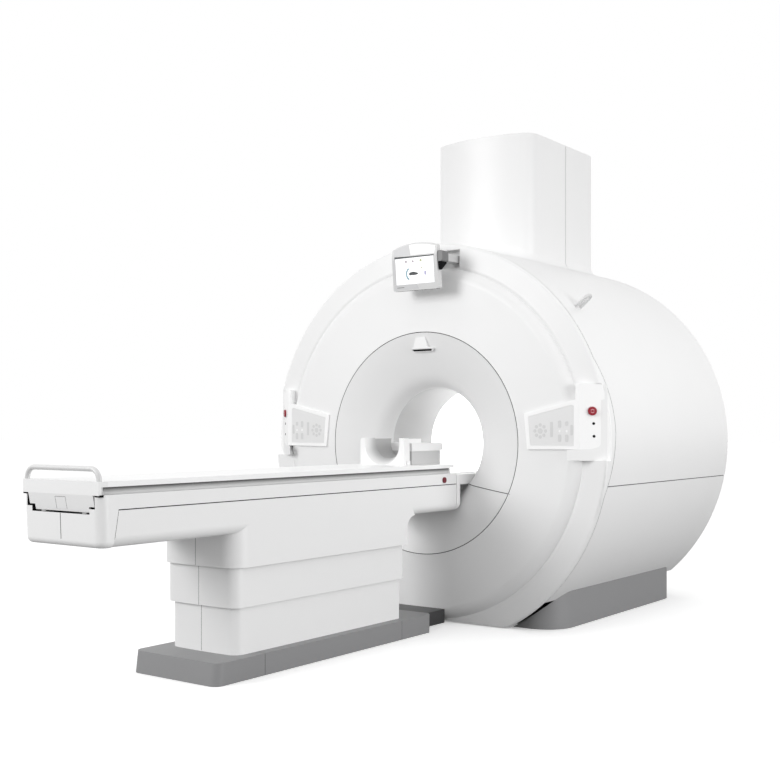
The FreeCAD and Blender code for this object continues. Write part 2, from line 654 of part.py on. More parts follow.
# ---------------------------------------------------------------- feet and machine plinth
feet = new_body("feet")
pad(feet, "XZ_Plane", rectangle("-foot_half", "foot_half", "-axis_height",
                                "220 - axis_height"),
    "magnet_half - foot_spacing / 2 - foot_length / 2", "foot_length")
pad(feet, "XZ_Plane", rectangle("-foot_half", "foot_half", "-axis_height",
                                "220 - axis_height"),
    "magnet_half + foot_spacing / 2 - foot_length / 2", "foot_length")
for side in ("-1", "1"):
    pad(feet, "XZ_Plane", rectangle(
        f"{side} * 350 - 40", f"{side} * 350 + 40", "-axis_height", "anchor_flange - axis_height"),
        "magnet_half - foot_spacing / 2", "foot_spacing")
feet_step = []
for side, low, high in (("left", "-foot_half - 1", "-foot_half + 110"),
                        ("right", "foot_half - 110", "foot_half + 1")):
    feet_step.append(block(f"foot_step_{side}", low, high, "0", "1600",
                           "anchor_flange - axis_height", "400 - axis_height"))
for number, (x, y) in enumerate([("-1", "-1"), ("-1", "1"), ("1", "-1"), ("1", "1")]):
    feet_step.append(rod(f"anchor_{number}", "anchor_radius", "200",
                         f"{x} * anchor_spacing / 2", f"magnet_half + {y} * foot_spacing / 2",
                         "-axis_height - 50", "z"))
feet_step.append(rod("saddle", "vessel_radius + seat_gap", "2000", "0", "0", "0"))
on_magnet(cut("feet_cut", feet, fuse("feet_tools", *feet_step)), "magnet_feet")

envelope = new_body("envelope")
turn(envelope, [
    ("0", "-20"),
    ("disc_radius", "-20"),
    ("band_radius", "band_depth - 20"),
    ("barrel_radius + seat_gap", "barrel_front - 14"),
    ("barrel_radius + seat_gap", "2200"),
    ("0", "2200"),
])
base = new_body("base")
base_pad = pad(base, "XY_Plane", rectangle("-plinth_half", "plinth_half", "plinth_front",
                                           "plinth_rear"), "-axis_height", "plinth_height")
fillet(base, base_pad, "plinth_corner", upright)
base_cut = cut("base_cut", base, envelope)
cross_rear = block("cross_rear", "-640", "640", "plinth_rear - 60", "plinth_rear - 10",
                   "-axis_height", "-axis_height + 130")
cross_front = block("cross_front", "-640", "640", "vessel_front + 10", "vessel_front + 50",
                    "-axis_height", "-axis_height + 45")
on_magnet(fuse("plinth_fuse", base_cut, cross_rear, cross_front), "gantry_plinth")

# ---------------------------------------------------------------- service turret
turret = new_body("turret")
front_bend = "((turret_half ^ 2 + turret_bow ^ 2) / (2 * turret_bow))"
turret_pad = pad(turret, "XY_Plane", rectangle(
    "-turret_half", "turret_half", "turret_front_y", "turret_rear_y"), "800",
    "turret_top - 800", {0: front_bend})
fillet(turret, turret_pad, "turret_corner", upright)
barrel_solid = rod("barrel_solid", "barrel_radius + seat_gap", "2000", "0", "0", "0")
turret_union = fuse("turret_union", turret, barrel_solid)
doc.recompute()
flare = doc.addObject("Part::Fillet", "flare")
flare.Base = turret_union
flare_edges = []
for number, edge in enumerate(turret_union.Shape.Edges, start=1):
    spot = middle(edge)
    inside = abs(spot.x) < size("turret_half + 1") and size("turret_front_y - turret_bow - 1") < spot.y
    if inside and spot.y < size("turret_rear_y + 1") and 1000 < spot.z < 1100:
        flare_edges.append((number, size("turret_flare"), size("turret_flare")))
flare.Edges = flare_edges
turret_solid = cut("turret_solid", flare, barrel_solid)
turret_room = new_body("turret_room")
room_pad = pad(turret_room, "XY_Plane", rectangle(
    "-turret_half + cover_wall", "turret_half - cover_wall", "turret_front_y + cover_wall",
    "turret_rear_y - cover_wall"), "700", "turret_top + 400 - 700",
    {0: f"{front_bend} - cover_wall"})
fillet(turret_room, room_pad, "turret_corner - cover_wall", upright)
turret_shell = cut("turret_shell", turret_solid, turret_room)
front_part = block("front_part", "-900", "900", "0", "turret_seam_y - seam_width / 2", "500",
                   "2000")
rear_part = block("rear_part", "-900", "900", "turret_seam_y + seam_width / 2", "2000", "500",
                  "2000")
on_magnet(common("turret_front_keep", turret_shell, front_part), "turret_front")
turret_rib = new_body("turret_rib")
pad(turret_rib, "XZ_Plane", rectangle(
    "-turret_half + cover_wall", "turret_half - cover_wall", "1062",
    "turret_top - cover_wall - seat_gap"), "turret_seam_y - 14", "28")
pad(turret_rib, "XZ_Plane", rectangle(
    "-turret_half + 2 * cover_wall", "turret_half - 2 * cover_wall", "1000",
    "turret_top"), "turret_seam_y - 20", "40", cut=True)
turret_back = common("turret_back", turret_shell, rear_part)
on_magnet(fuse("turret_rear_fuse", turret_back, turret_rib), "turret_rear")
cap = new_body("cap")
cap_pad = pad(cap, "XY_Plane", rectangle(
    "-turret_half + cover_wall + seat_gap", "turret_half - cover_wall - seat_gap",
    "turret_front_y + cover_wall + seat_gap", "turret_rear_y - cover_wall - seat_gap"),
    "turret_top - cover_wall", "cover_wall", {0: f"{front_bend} - cover_wall - seat_gap"})
fillet(cap, cap_pad, "turret_corner - cover_wall - seat_gap", upright)
vent_hole = rod("vent_hole", "quench_radius + vent_room", "200", "0", "turret_seam_y + 140",
                "turret_top - 100", "z")
on_magnet(cut("cap_cut", cap, vent_hole), "turret_cap")
vent_y = "turret_seam_y + 140"
vent = fuse(
    "vent",
    rod("vent_wall", "quench_radius - collar_step", "turret_top + vent_rise - 880", "0", vent_y,
        "880", "z"),
    rod("vent_collar", "quench_radius", "vent_rise - collar_foot", "0", vent_y,
        "turret_top + collar_foot", "z"))
vent_bore = rod("vent_bore", "quench_radius - collar_step - 5", "1200", "0", vent_y, "900", "z")
vessel_round = rod("vessel_round", "vessel_radius + seat_gap", "2000", "0", "0", "0")
on_magnet(cut("vent_cut", cut("vent_tube", vent, vent_bore), vessel_round), "quench_pipe")
cold = fuse("cold", rod("cold_neck", "cold_radius", "300", "0", "850", "850", "z"),
            rod("cold_flange", "cold_radius + 40", "24", "0", "850", "1085", "z"),
            rod("cold_motor", "cold_radius + 15", "170", "0", "850", "1109", "z"))
on_magnet(cut("cold_cut", cold, vessel_round), "cold_head")

# ---------------------------------------------------------------- consoles
console = new_body("console")
pad(console, "XY_Plane", [
    ("pod_inner", "-pod_proud"),
    ("pod_bend", "-pod_proud"),
    ("pod_outer", "pod_outer_depth"),
    ("pod_outer + 60", "notch_depth - 3"),
    ("pod_outer + 60", "notch_depth - seat_gap"),
    ("pod_inner", "notch_depth - seat_gap"),
], "-pod_low", "pod_high + pod_low")
console_shape = new_body("console_shape")
pad(console_shape, "XZ_Plane", [
    ("pod_inner + 18", "-26"),
    ("pod_bend + 12", "-22"),
    ("pod_bend - 20", "-pod_low"),
    ("pod_outer + 60", "-pod_low"),
    ("pod_outer + 60", "pod_high"),
    ("pod_bend - 20", "pod_high"),
    ("pod_bend - 22", "222"),
    ("pod_inner", "156"),
], "-60", "400")
console_keep = common("console_keep", console, console_shape)
notch_fill = block("notch_fill", "notch_inner + seat_gap", "1200", "-60", "notch_depth",
                   "-pod_low", "pod_high")
console_seat = cut("console_seat", front_solid, notch_fill)
console_round = common("console_round", console_keep, rod(
    "rim_round_rod", "barrel_radius", "600", "0", "-60", "0"))
console_cut = cut("console_cut", console_round, console_seat)
keypad_pocket = new_body("keypad_pocket")
pad(keypad_pocket, "XZ_Plane", [
    ("672", "-6"), ("660", "140"), ("900", "196"), ("915", "192"), ("915", "-6")],
    "-pod_proud - 1", "4")
stop_tilt = "atan((pod_outer_depth + pod_proud) / (pod_outer - pod_bend))"
stop_x = "pod_bend + (pod_outer - pod_bend) * 0.45"
stop_y = "-pod_proud + (pod_outer_depth + pod_proud) * 0.45"


def facing_rod(name, radius, length, x, y, z, back):
    """A cylinder square to the console's slanted outer face, started back behind it."""
    cylinder = doc.addObject("Part::Cylinder", name)
    bind(cylinder, "Radius", radius)
    bind(cylinder, "Height", length)
    bind(cylinder, "Placement.Rotation.Angle", "90")
    tilt = size(stop_tilt)
    spin = FreeCAD.Rotation(V(0, 0, 1), tilt).multiply(FreeCAD.Rotation(V(1, 0, 0), 90))
    cylinder.Placement = FreeCAD.Placement(V(0, 0, 0), spin)
    cylinder.setExpression("Placement.Rotation.Angle", None)
    bind(cylinder, "Placement.Base.x", f"{x} - ({back}) * sin({stop_tilt})")
    bind(cylinder, "Placement.Base.y", f"{y} + ({back}) * cos({stop_tilt})")
    bind(cylinder, "Placement.Base.z", z)
    return cylinder


well = facing_rod("well", "stop_radius + seat_gap", "40", stop_x, stop_y, "stop_height", "14")
console_pocketed = cut("console_pocketed", console_cut, fuse("console_tools", keypad_pocket, well))
on_magnet(console_pocketed, "console_right")
mirror(nodes["console_right"], "console_left")
stop_button = fuse(
    "stop_button",
    facing_rod("stop_head", "stop_radius", "16", stop_x, stop_y, "stop_height", "6"),
    facing_rod("stop_stem", "stop_radius / 2", "4", stop_x, stop_y, "stop_height", "9"))
on_magnet(stop_button, "gantry_stop_right")
mirror(nodes["gantry_stop_right"], "gantry_stop_left")
keypad = new_body("keypad")
pad(keypad, "XZ_Plane", [
    ("672 + seat_gap", "-6 + seat_gap"), ("660 + seat_gap", "140 - seat_gap"),
    ("900", "196 - seat_gap"), ("915 - seat_gap", "192 - seat_gap"),
    ("915 - seat_gap", "-6 + seat_gap")], "-pod_proud + 1", "2")
on_magnet(keypad, "keypad_right")
mirror(nodes["keypad_right"], "keypad_left")

# ---------------------------------------------------------------- display
housing = new_body("housing")
housing_pad = pad(housing, "XZ_Plane", [
    ("display_left", "display_low"),
    ("display_right", "display_low"),
    ("display_right", "display_high - 23"),
    ("display_left", "display_high - 31"),
], "display_front", "display_depth", {2: "display_arch"})
housing_round = fillet(housing, housing_pad, "12", along_y)
screen_mid = "(display_left + display_right) / 2"
pad(housing, "XZ_Plane", rectangle(
    f"{screen_mid} - screen_half", f"{screen_mid} + screen_half", "screen_low", "screen_high"),
    "display_front - 1", "6", cut=True)
pad(housing, "YZ_Plane", [
    ("display_front - 10", "screen_high + 8"), ("display_front", "screen_high + 8"),
    ("display_front + 20", "display_high + 6"), ("display_front - 10", "display_high + 6")],
    "display_left - 5", "display_right - display_left + 10", cut=True)
hinge_bore = rod("hinge_bore", "hinge_radius + hinge_play", "40", "display_right - 21",
                 "hinge_y", "hinge_z", "x")
screen = new_body("screen")
pad(screen, "XZ_Plane", rectangle(
    f"{screen_mid} - screen_half + seat_gap", f"{screen_mid} + screen_half - seat_gap",
    "screen_low + seat_gap", "screen_high - seat_gap"), "display_front + 1", "4")


def leaning(item, label):
    """Places a piece of the display, leaned forward about the hinge."""
    sway = "hinge_y - hinge_y * cos(display_lean) + hinge_z * sin(display_lean)"
    rise = "hinge_z - hinge_y * sin(display_lean) - hinge_z * cos(display_lean)"
    spots[item.Name] = (f"({sway})", f"({rise})")
    item.Placement = FreeCAD.Placement(V(0, 0, 0), FreeCAD.Rotation(V(1, 0, 0), 5))
    bind(item, "Placement.Rotation.Angle", "display_lean")
    on_magnet(item, label)


leaning(cut("housing_cut", housing, hinge_bore), "display_housing")
leaning(screen, "display_screen")
arm = new_body("arm")
arm_pad = pad(arm, "XZ_Plane", rectangle("display_right + seat_gap", "216", "948", "1004"),
              "hinge_y - 12", "60")
arm_bar = pad(arm, "XZ_Plane", rectangle("160", "212", "954", "993"), "hinge_y + 34",
              "72 - seat_gap - (hinge_y + 34)")
fillet(arm, arm_bar, "8", lambda edge: along_y(edge) and middle(edge).y < size("hinge_y + 25"))
hinge_pin = rod("hinge_pin", "hinge_radius", "40", "display_right - 20", "hinge_y", "hinge_z", "x")
on_magnet(fuse("arm_fuse", arm, hinge_pin), "display_arm")

# ---------------------------------------------------------------- laser pod and lifting eyes
laser = new_body("laser")
laser_pad = pad(laser, "XZ_Plane", [
    ("-68", "508"), ("-48", "518"), ("-36", "568"), ("24", "568"), ("40", "518"), ("76", "508"),
    ("62", "490"), ("-54", "490")], "-4", "60")
pad(laser, "YZ_Plane", [("-10", "480"), ("-10", "508"), ("-4", "508"), ("14", "488"),
                        ("14", "480")], "-100", "200", cut=True)
funnel_solid = new_body("funnel_solid")
turn(funnel_solid, [
    ("ring_radius + 50", "-40"),
    ("ring_radius + 50", "400"),
    ("bore_radius", "400"),
    ("bore_radius", "funnel_depth - seat_gap"),
    ("funnel_knee_radius", "funnel_knee_depth - seat_gap"),
    ("ring_radius", "-seat_gap"),
    ("ring_radius", "-40"),
], {3: "128", 4: "900"})
on_magnet(cut("laser_cut", laser, funnel_solid), "laser_pod")

eyes = []
for side in ("-", ""):
    eye = hoop("eye", "YZ_Plane", "eye_place - eye_half", "eye_place + eye_half",
               "barrel_radius - 6", "barrel_radius + eye_rise", "eye_half - 1", "eye_tube", "0")
    eye.Placement = FreeCAD.Placement(V(0, 0, 0), FreeCAD.Rotation(V(0, 1, 0), 10))
    bind(eye, "Placement.Rotation.Angle", f"{side}(90 - eye_angle)")
    eyes.append(eye)
on_magnet(cut("eye_cut", fuse("eye_raw", *eyes), barrel_solid), "lifting_eyes")

# ---------------------------------------------------------------- table plinth and dock
for label, low, high in (("plinth_foot_cap", "-base_foot", "-base_foot_seam - seam_width / 4"),
                         ("plinth_head_cap", "-base_head_seam + seam_width / 4", "-base_head")):
    piece = new_body(label + "_body")
    if label == "plinth_foot_cap":
        profile = [(low, "0"), (high, "0"), (high, "base_height"),
                   ("-base_foot + base_rake", "base_height")]
    else:
        profile = rectangle(low, high, "0", "base_height")
    piece_pad = pad(piece, "YZ_Plane", profile, "-base_half", "2 * base_half")
    if label == "plinth_foot_cap":
        fillet(piece, piece_pad, "base_corner",
               lambda edge: middle(edge).y < size("-base_foot + base_rake") and not along_x(edge)
               and abs(middle(edge).x) > size("base_half - 1")
               and abs(edge.Vertexes[0].Z - edge.Vertexes[-1].Z) > 10)
    else:
        fillet(piece, piece_pad, "base_corner",
               lambda edge: upright(edge) and middle(edge).y > size("-base_head - 1"))
    inner = block(label + "_room", "-base_half + 12", "base_half - 12",
                  f"({low}) + 60" if label == "plinth_foot_cap" else f"({low}) - 1",
                  f"({high}) + 1" if label == "plinth_foot_cap" else f"({high}) - 60",
                  "-1", "base_height - 10")
    on_floor(cut(label + "_cut", piece, inner), label)
side_plinth = new_body("side_plinth")
pad(side_plinth, "XZ_Plane", [
    ("seat_gap / 2", "base_height - 8"),
    ("base_half - 8", "base_height - 8"),
    ("base_half - 8", "0"),
    ("base_half", "0"),
    ("base_half", "base_height"),
    ("seat_gap / 2", "base_height"),
], "-base_foot_seam + seam_width / 4", "base_foot_seam - base_head_seam - seam_width / 2")
column_holes = fuse(
    "column_holes",
    block("hole_foot", "-column_width / 2 - column_play", "column_width / 2 + column_play",
          "-column_foot_y - column_width / 2 - column_play",
          "-column_foot_y + column_width / 2 + column_play",
          "20", "200"),
    block("hole_head", "-column_width / 2 - column_play", "column_width / 2 + column_play",
          "-column_head_y - column_width / 2 - column_play",
          "-column_head_y + column_width / 2 + column_play",
          "20", "200"))
on_floor(cut("side_plinth_cut", side_plinth, column_holes), "plinth_right")
mirror(nodes["plinth_right"], "plinth_left")
dock = new_body("dock")
dock_pad = pad(dock, "YZ_Plane", [
    ("-base_head + seat_gap", "0"), ("-seat_gap", "0"), ("-seat_gap", "72"),
    ("-base_head + seat_gap", "72")], "-150", "300")
on_floor(dock, "dock_block")


# ---------------------------------------------------------------- skirts of the table
def skirt_outline(half, foot, head, bow, near="seat_gap"):
    """Half of a skirt's plan: a bowed foot end, a straight side and a flat head end."""
    return [(near, f"-({head})"), (near, f"-({foot})"), (half, f"-({foot}) + ({bow})"),
            (half, f"-({head})")]


def skirt(name, half, foot, head, low, high, corner, wall, bow="skirt_bow"):
    """Right half of a hollow skirt with a rounded foot corner."""
    outer = new_body(name + "_outer")
    radius = f"((({half}) ^ 2 + ({bow}) ^ 2) / (2 * ({bow})))"
    outer_pad = pad(outer, "XY_Plane", skirt_outline(half, foot, head, bow), low,
                    f"({high}) - ({low})", {1: radius})
    fillet(outer, outer_pad, corner, lambda edge: upright(edge)
           and middle(edge).x > size(half) - 1 and middle(edge).y < size(f"-({foot}) + 200"))
    inner = new_body(name + "_inner")
    inner_pad = pad(inner, "XY_Plane", skirt_outline(
        f"{half} - {wall}", f"{foot} - {wall}", f"{head} + {wall}", bow, "-5"),
        f"({low}) - 5", f"({high}) - ({low}) + 10")
    fillet(inner, inner_pad, f"{corner} - {wall}", lambda edge: upright(edge)
           and middle(edge).x > 50 and middle(edge).y < size(f"-({foot}) + 200"))
    return outer, inner


lower_outer, lower_inner = skirt("lower", "lower_half", "lower_foot", "lower_head",
                                 "base_height", "lower_high", "50", "7")
on_floor(cut("lower_cut", lower_outer, lower_inner), "lower_skirt_right")
mirror(nodes["lower_skirt_right"], "lower_skirt_left")
middle_outer, middle_inner = skirt("middle", "middle_half", "middle_foot", "middle_head",
                                   "middle_low", "middle_high", "50", "7")
on_floor(cut("middle_cut", middle_outer, middle_inner), "middle_skirt_right")
mirror(nodes["middle_skirt_right"], "middle_skirt_left")

skirt_outer, skirt_inner = skirt("upper", "frame_half", "skirt_foot", "skirt_head",
                                 "skirt_low", "side_seam - seam_width", "skirt_corner", "9")
rail_top = "table_height - rail_drop"
side_bar = new_body("side_bar")
bar_pad = pad(side_bar, "XZ_Plane", rectangle(
    "seat_gap", "frame_half", "frame_low", "side_seam - seam_width"),
    "-surround_seam - seam_lean", "surround_seam + seam_lean - table_head")
fillet(side_bar, bar_pad, "frame_corner", lambda edge: along_y(edge)
                   and middle(edge).z < size("frame_low + 1") and middle(edge).x > 100)
pad(side_bar, "YZ_Plane", [
    ("-surround_seam - 100", "table_height"), ("-surround_seam - 100", "frame_low - 5"),
    ("-surround_seam - seam_lean + seam_width / 2", "frame_low - 5"),
    ("-surround_seam - seam_lean + seam_width / 2", "frame_low"),
    ("-surround_seam + seam_width / 2", "side_seam - seam_depth"),
    ("-surround_seam + seam_width / 2", "table_height"),
], "-5", "frame_half + 20", cut=True)
side_room = new_body("side_room")
room = pad(side_room, "XZ_Plane", rectangle(
    "-5", "frame_half - 9", "frame_low + 9", "side_seam + 20"),
    "-surround_seam - 60", "surround_seam - table_head + 51")
fillet(side_room, room, "frame_corner - 9", lambda edge: along_y(edge)
                    and middle(edge).z < size("frame_low + 10") and middle(edge).x > 100)
haunch = new_body("haunch")
pad(haunch, "YZ_Plane", [
    ("-skirt_head - 5", "frame_low - haunch_bend"),
    ("-skirt_head", "frame_low - haunch_bend"),
    ("-skirt_head + haunch_bend", "frame_low"),
    ("-skirt_head + frame_corner", "frame_low + frame_corner"),
    ("-skirt_head - 5", "frame_low + frame_corner"),
], "seat_gap", "frame_half - seat_gap", {1: "-haunch_bend"})
side_union = fuse("side_union", skirt_outer, side_bar, haunch)
on_floor(cut("side_cut", side_union, fuse("side_rooms", skirt_inner, side_room)),
         "side_cover_right")
mirror(nodes["side_cover_right"], "side_cover_left")

# ---------------------------------------------------------------- rails and end caps
rail_floor = "table_height - top_thick - 6"
rail = new_body("rail")
pad(rail, "XZ_Plane", [
    ("rail_inner + seat_gap", "side_seam"),
    ("frame_half", "side_seam"),
    ("frame_half", rail_top),
    ("top_half + 4", rail_top),
    ("top_half + 4", rail_floor),
    ("rail_inner + seat_gap", rail_floor),
], "-surround_seam", "surround_seam - table_head")
pad(rail, "XZ_Plane", rectangle("rail_inner + seat_gap", "frame_half - 9 - seat_gap",
                                "side_seam - seam_depth", "side_seam + 5"),
    "-surround_seam", "surround_seam - table_head - 9 - seat_gap")
end_cap = new_body("end_cap")
end_pad = pad(end_cap, "YZ_Plane", [
    ("-table_foot", rail_top),
    ("-surround_seam", rail_top),
    ("-surround_seam", "side_seam - seam_depth"),
    ("-surround_seam - seam_lean", "frame_low"),
    ("-table_foot + 8", "frame_low"),
], "seat_gap", "frame_half - seat_gap")
end_side = fillet(end_cap, end_pad, "40", lambda edge: middle(edge).y < size("-table_foot + 40")
                  and middle(edge).x > size("frame_half - 1")
                  and abs(edge.Vertexes[0].Z - edge.Vertexes[-1].Z) > 20)
fillet(end_cap, end_side, "24", lambda edge: middle(edge).z
       < size("frame_low + 0.5") and middle(edge).y < size("-surround_seam - seam_lean - 1")
       and middle(edge).x > 10)
cap_drop = "(top_keel_half + 2)"
trough = new_body("trough")
pad(trough, "XZ_Plane", [
    ("-5", "table_height - 120"),
    ("step_inner - 2", "table_height - 120"),
    ("step_inner - 2", "table_height - 100"),
    ("rail_inner", "table_height - 100"),
    ("rail_inner", rail_floor),
    ("top_half + 4", rail_floor),
    ("top_half + 4", "table_height"),
    ("-5", "table_height"),
], "-table_foot - 20", "table_foot - surround_seam + 30")
end_open = cut("end_open", end_cap, trough)
stop_place = rod("stop_place", "15 + seat_gap", "30", "frame_half - 12", "-125",
                 "side_seam + 23", "x")
rail_pocket = cut("rail_pocket", rail, stop_place)
on_floor(fuse("surround_fuse", rail_pocket, end_open), "surround_right")
mirror(nodes["surround_right"], "surround_left")
table_stop = rod("table_stop", "15", "13", "frame_half - 7", "-125", "side_seam + 23", "x")
table_stem = rod("table_stem", "7", "4", "frame_half - 8.7", "-125", "side_seam + 23", "x")
on_floor(fuse("table_stop_fuse", table_stop, table_stem), "table_stop_right")
mirror(nodes["table_stop_right"], "table_stop_left")

# ---------------------------------------------------------------- table frame and lift
frame = new_body("frame")
pad(frame, "XZ_Plane", [
    ("-keel_half", "keel_low"), ("keel_half", "keel_low"), ("keel_half", "frame_floor"),
    ("rail_inner + 14", "frame_floor"), ("rail_inner + 14", "side_seam - seam_depth - seat_gap"),
    ("rail_inner", "side_seam - seam_depth - seat_gap"), ("rail_inner", "table_height - 100"),
    ("step_inner", "table_height - 100"), ("step_inner", "table_height - 120"),
    ("keel_half - 6", "table_height - 120"), ("keel_half - 6", "keel_low + 6"),
    ("-keel_half + 6", "keel_low + 6"), ("-keel_half + 6", "table_height - 120"),
    ("-step_inner", "table_height - 120"), ("-step_inner", "table_height - 100"),
    ("-rail_inner", "table_height - 100"), ("-rail_inner", "side_seam - seam_depth - seat_gap"),
    ("-rail_inner - 14", "side_seam - seam_depth - seat_gap"), ("-rail_inner - 14", "frame_floor"),
    ("-keel_half", "frame_floor"),
], "-surround_seam + seat_gap", "surround_seam - table_head - 12")
for side in ("-1", "1"):
    pad(frame, "XZ_Plane", rectangle(
        f"{side} * 181 - 8", f"{side} * 181 + 8", "table_height - 101",
        "table_height - top_thick - seat_gap"), "-640", "610")
motor_pocket = block("motor_pocket", "keel_half", "160", "-drive_y - 44", "-drive_y + 42",
                     "600", "760")
on_floor(cut("frame_cut", frame, motor_pocket), "table_frame")
on_floor(rod("motor", "36", "110", "keel_half + seat_gap", "-drive_y", "pulley_height", "x"),
         "drive_motor")
on_floor(rod("drive_pulley_rod", "pulley_radius", "2 * keel_half - 12.6",
             "-keel_half + 6.3", "-drive_y", "pulley_height", "x"), "drive_pulley")
on_floor(rod("idler_rod", "pulley_radius", "2 * keel_half - 12.6", "-keel_half + 6.3",
             "-idler_y", "pulley_height", "x"), "idler_pulley")
belt = new_body("belt")
belt_inner = "(pulley_radius + seat_gap)"
belt_outer = "(pulley_radius + seat_gap + belt_thick)"
for radius, back in ((belt_outer, False), (belt_inner, True)):
    pad(belt, "YZ_Plane", [
        ("-idler_y", f"pulley_height - {radius}"), ("-drive_y", f"pulley_height - {radius}"),
        ("-drive_y", f"pulley_height + {radius}"), ("-idler_y", f"pulley_height + {radius}"),
    ], "-belt_half", "2 * belt_half", {1: radius, 3: radius}, cut=back)
on_floor(belt, "drive_belt")


def columns(name, inset, low, high, wall):
    """Two square tubes, one over each column place."""
    tubes = []
    for place in ("column_foot_y", "column_head_y"):
        half = f"(column_width / 2 - {inset})"
        outer = block(f"{name}_{place}", f"-{half}", half, f"-{place} - {half}",
                      f"-{place} + {half}", low, high)
        inner = block(f"{name}_{place}_in", f"-{half} + {wall}", f"{half} - {wall}",
                      f"-{place} - {half} + {wall}", f"-{place} + {half} - {wall}",
                      f"({low}) - 1", f"({high}) + 1")
        tubes.append((outer, inner))
    return tubes


base_tubes = columns("column_base", "0", "12", "lower_high - 1", "column_wall")
base_plate = block("base_plate", "-170", "170", "-column_foot_y - 110", "-column_head_y + 110",
                   "0", "12")
on_floor(fuse("column_base_fuse", base_plate, *[cut(f"base_tube_{n}", *pair)
                                                for n, pair in enumerate(base_tubes)]),
         "lift_column_base")
stage_tubes = columns("column_stage", "(column_wall + column_play)",
                      "lower_high - 145", "middle_high - 6", "column_wall")
stage_plate = block("stage_plate", "-middle_half + 7 + seat_gap", "middle_half - 7 - seat_gap",
                    "-column_foot_y - 110", "-column_head_y + 110", "middle_high - 14",
                    "middle_high - 6")
stage_union = fuse("stage_union", stage_plate, *[pair[0] for pair in stage_tubes])
on_floor(cut("stage_cut", stage_union, fuse("stage_bores", *[pair[1] for pair in stage_tubes])),
         "lift_column_stage")
ram_tubes = columns("column_ram", "2 * (column_wall + column_play)", "middle_high - 140",
                    "keel_low - 8", "column_wall")
ram_plate = block("ram_plate", "-150", "150", "-column_foot_y - 90", "-column_head_y + 90",
                  "keel_low - 14", "keel_low")
on_floor(fuse("ram_fuse", ram_plate, *[cut(f"ram_tube_{n}", *pair)
                                       for n, pair in enumerate(ram_tubes)]),
         "lift_column_ram")

# ---------------------------------------------------------------- tabletop and what is on it
tabletop = new_body("tabletop_body")
top_pad = pad(tabletop, "XZ_Plane", [
    ("-top_keel_half", "table_height - top_thick"), ("top_keel_half", "table_height - top_thick"),
    ("top_keel_half", "table_height - top_lip"), ("top_half", "table_height - top_lip"),
    ("top_half", "table_height"), ("-top_half", "table_height"),
    ("-top_half", "table_height - top_lip"), ("-top_keel_half", "table_height - top_lip"),
], "-table_foot + cap_length", "table_foot - cap_length - table_head")
fillet(tabletop, top_pad, "12", lambda edge: upright(edge)
       and middle(edge).y > size("-table_head - 1") and abs(middle(edge).x) > 200)
on_floor(tabletop, "tabletop")
end_piece = new_body("end_piece")
end_piece_pad = pad(end_piece, "XZ_Plane", [
    ("-step_inner + 12", "table_height - 114"), ("step_inner - 12", "table_height - 114"),
    ("step_inner - 12", "table_height - 93"), ("rail_inner - 9", "table_height - 93"),
    ("rail_inner - 9", "table_height - top_thick"), ("top_half", "table_height - top_thick"),
    ("top_half", "table_height"), ("-top_half", "table_height"),
    ("-top_half", "table_height - top_thick"), ("-rail_inner + 9", "table_height - top_thick"),
    ("-rail_inner + 9", "table_height - 93"), ("-step_inner + 12", "table_height - 93"),
], "-table_foot", "cap_length - seat_gap")
rake_tool = new_body("rake_tool")
pad(rake_tool, "YZ_Plane", [
    ("-table_foot - 5", "table_height - top_thick"), ("-table_foot", "table_height - top_thick"),
    ("-table_foot + 15", "table_height - 125"), ("-table_foot - 5", "table_height - 125"),
], "-300", "600")
latch_room = block("latch_room", "-latch_half - seat_gap", "latch_half + seat_gap",
                   "-table_foot - 5", "-table_foot + 30", "table_height - 106",
                   "table_height - 60")
pads = [block(f"skid_{n}", f"{x} - 12", f"{x} + 12", "-table_foot + 18",
              "-table_foot + cap_length - 2", "table_height - 120 + seat_gap",
              "table_height - 110") for n, x in enumerate(("-120", "120"))]
grooves = [block(f"groove_{n}", low, high, "-table_foot + cap_plate", "-table_foot + 60",
                 "table_height - top_thick - 1", "table_height - top_lip")
           for n, (low, high) in enumerate((("-300", "-top_keel_half"), ("top_keel_half", "300")))]
end_cut = cut("end_cut", end_piece, fuse("end_tools", rake_tool, latch_room, *grooves))
on_floor(fuse("end_piece_fuse", end_cut, *pads), "tabletop_end_cap")
latch_raw = block("latch_raw", "-latch_half", "latch_half", "-table_foot - 2",
                  "-table_foot + 22", "table_height - 106 + seat_gap",
                  "table_height - 60 - seat_gap")
on_floor(cut("latch_cut", latch_raw, rake_tool), "release_latch")

on_floor(hoop("handle", "XZ_Plane", "-handle_half", "handle_half", "table_height",
              "table_height + handle_rise", "handle_bend", "handle_radius",
              "-table_foot + handle_radius + 2"), "grab_handle")

cradle = new_body("cradle")
cradle_pad = pad(cradle, "XZ_Plane", rectangle(
    "-cradle_half", "cradle_half", "table_height", "table_height + cradle_height"), "-352", "47")
fillet(cradle, cradle_pad, "12", lambda edge: along_y(edge)
       and middle(edge).z > size("table_height + cradle_height - 1"))
pad(cradle, "XZ_Plane", rectangle(
    "-cradle_body", "cradle_body", "table_height", "table_height + cradle_height - 4"),
    "-306", "140")
pad(cradle, "XZ_Plane", rectangle(
    "-cradle_half - 6", "cradle_half + 6", "table_height", "table_height + 22"), "-334", "28")
trough_height = "table_height + cradle_height - 28"
cradle_trough = rod("cradle_trough", "cradle_radius", "400", "0", "-450", trough_height)
flare_cone = doc.addObject("Part::Cone", "flare_cone")
flare_cone.Placement = FreeCAD.Placement(V(0, 0, 0), FreeCAD.Rotation(V(1, 0, 0), -90))
bind(flare_cone, "Radius1", "cradle_flare + 2")
bind(flare_cone, "Radius2", "cradle_radius - 2")
bind(flare_cone, "Height", "64")
bind(flare_cone, "Placement.Base.y", "-356")
bind(flare_cone, "Placement.Base.z", trough_height)
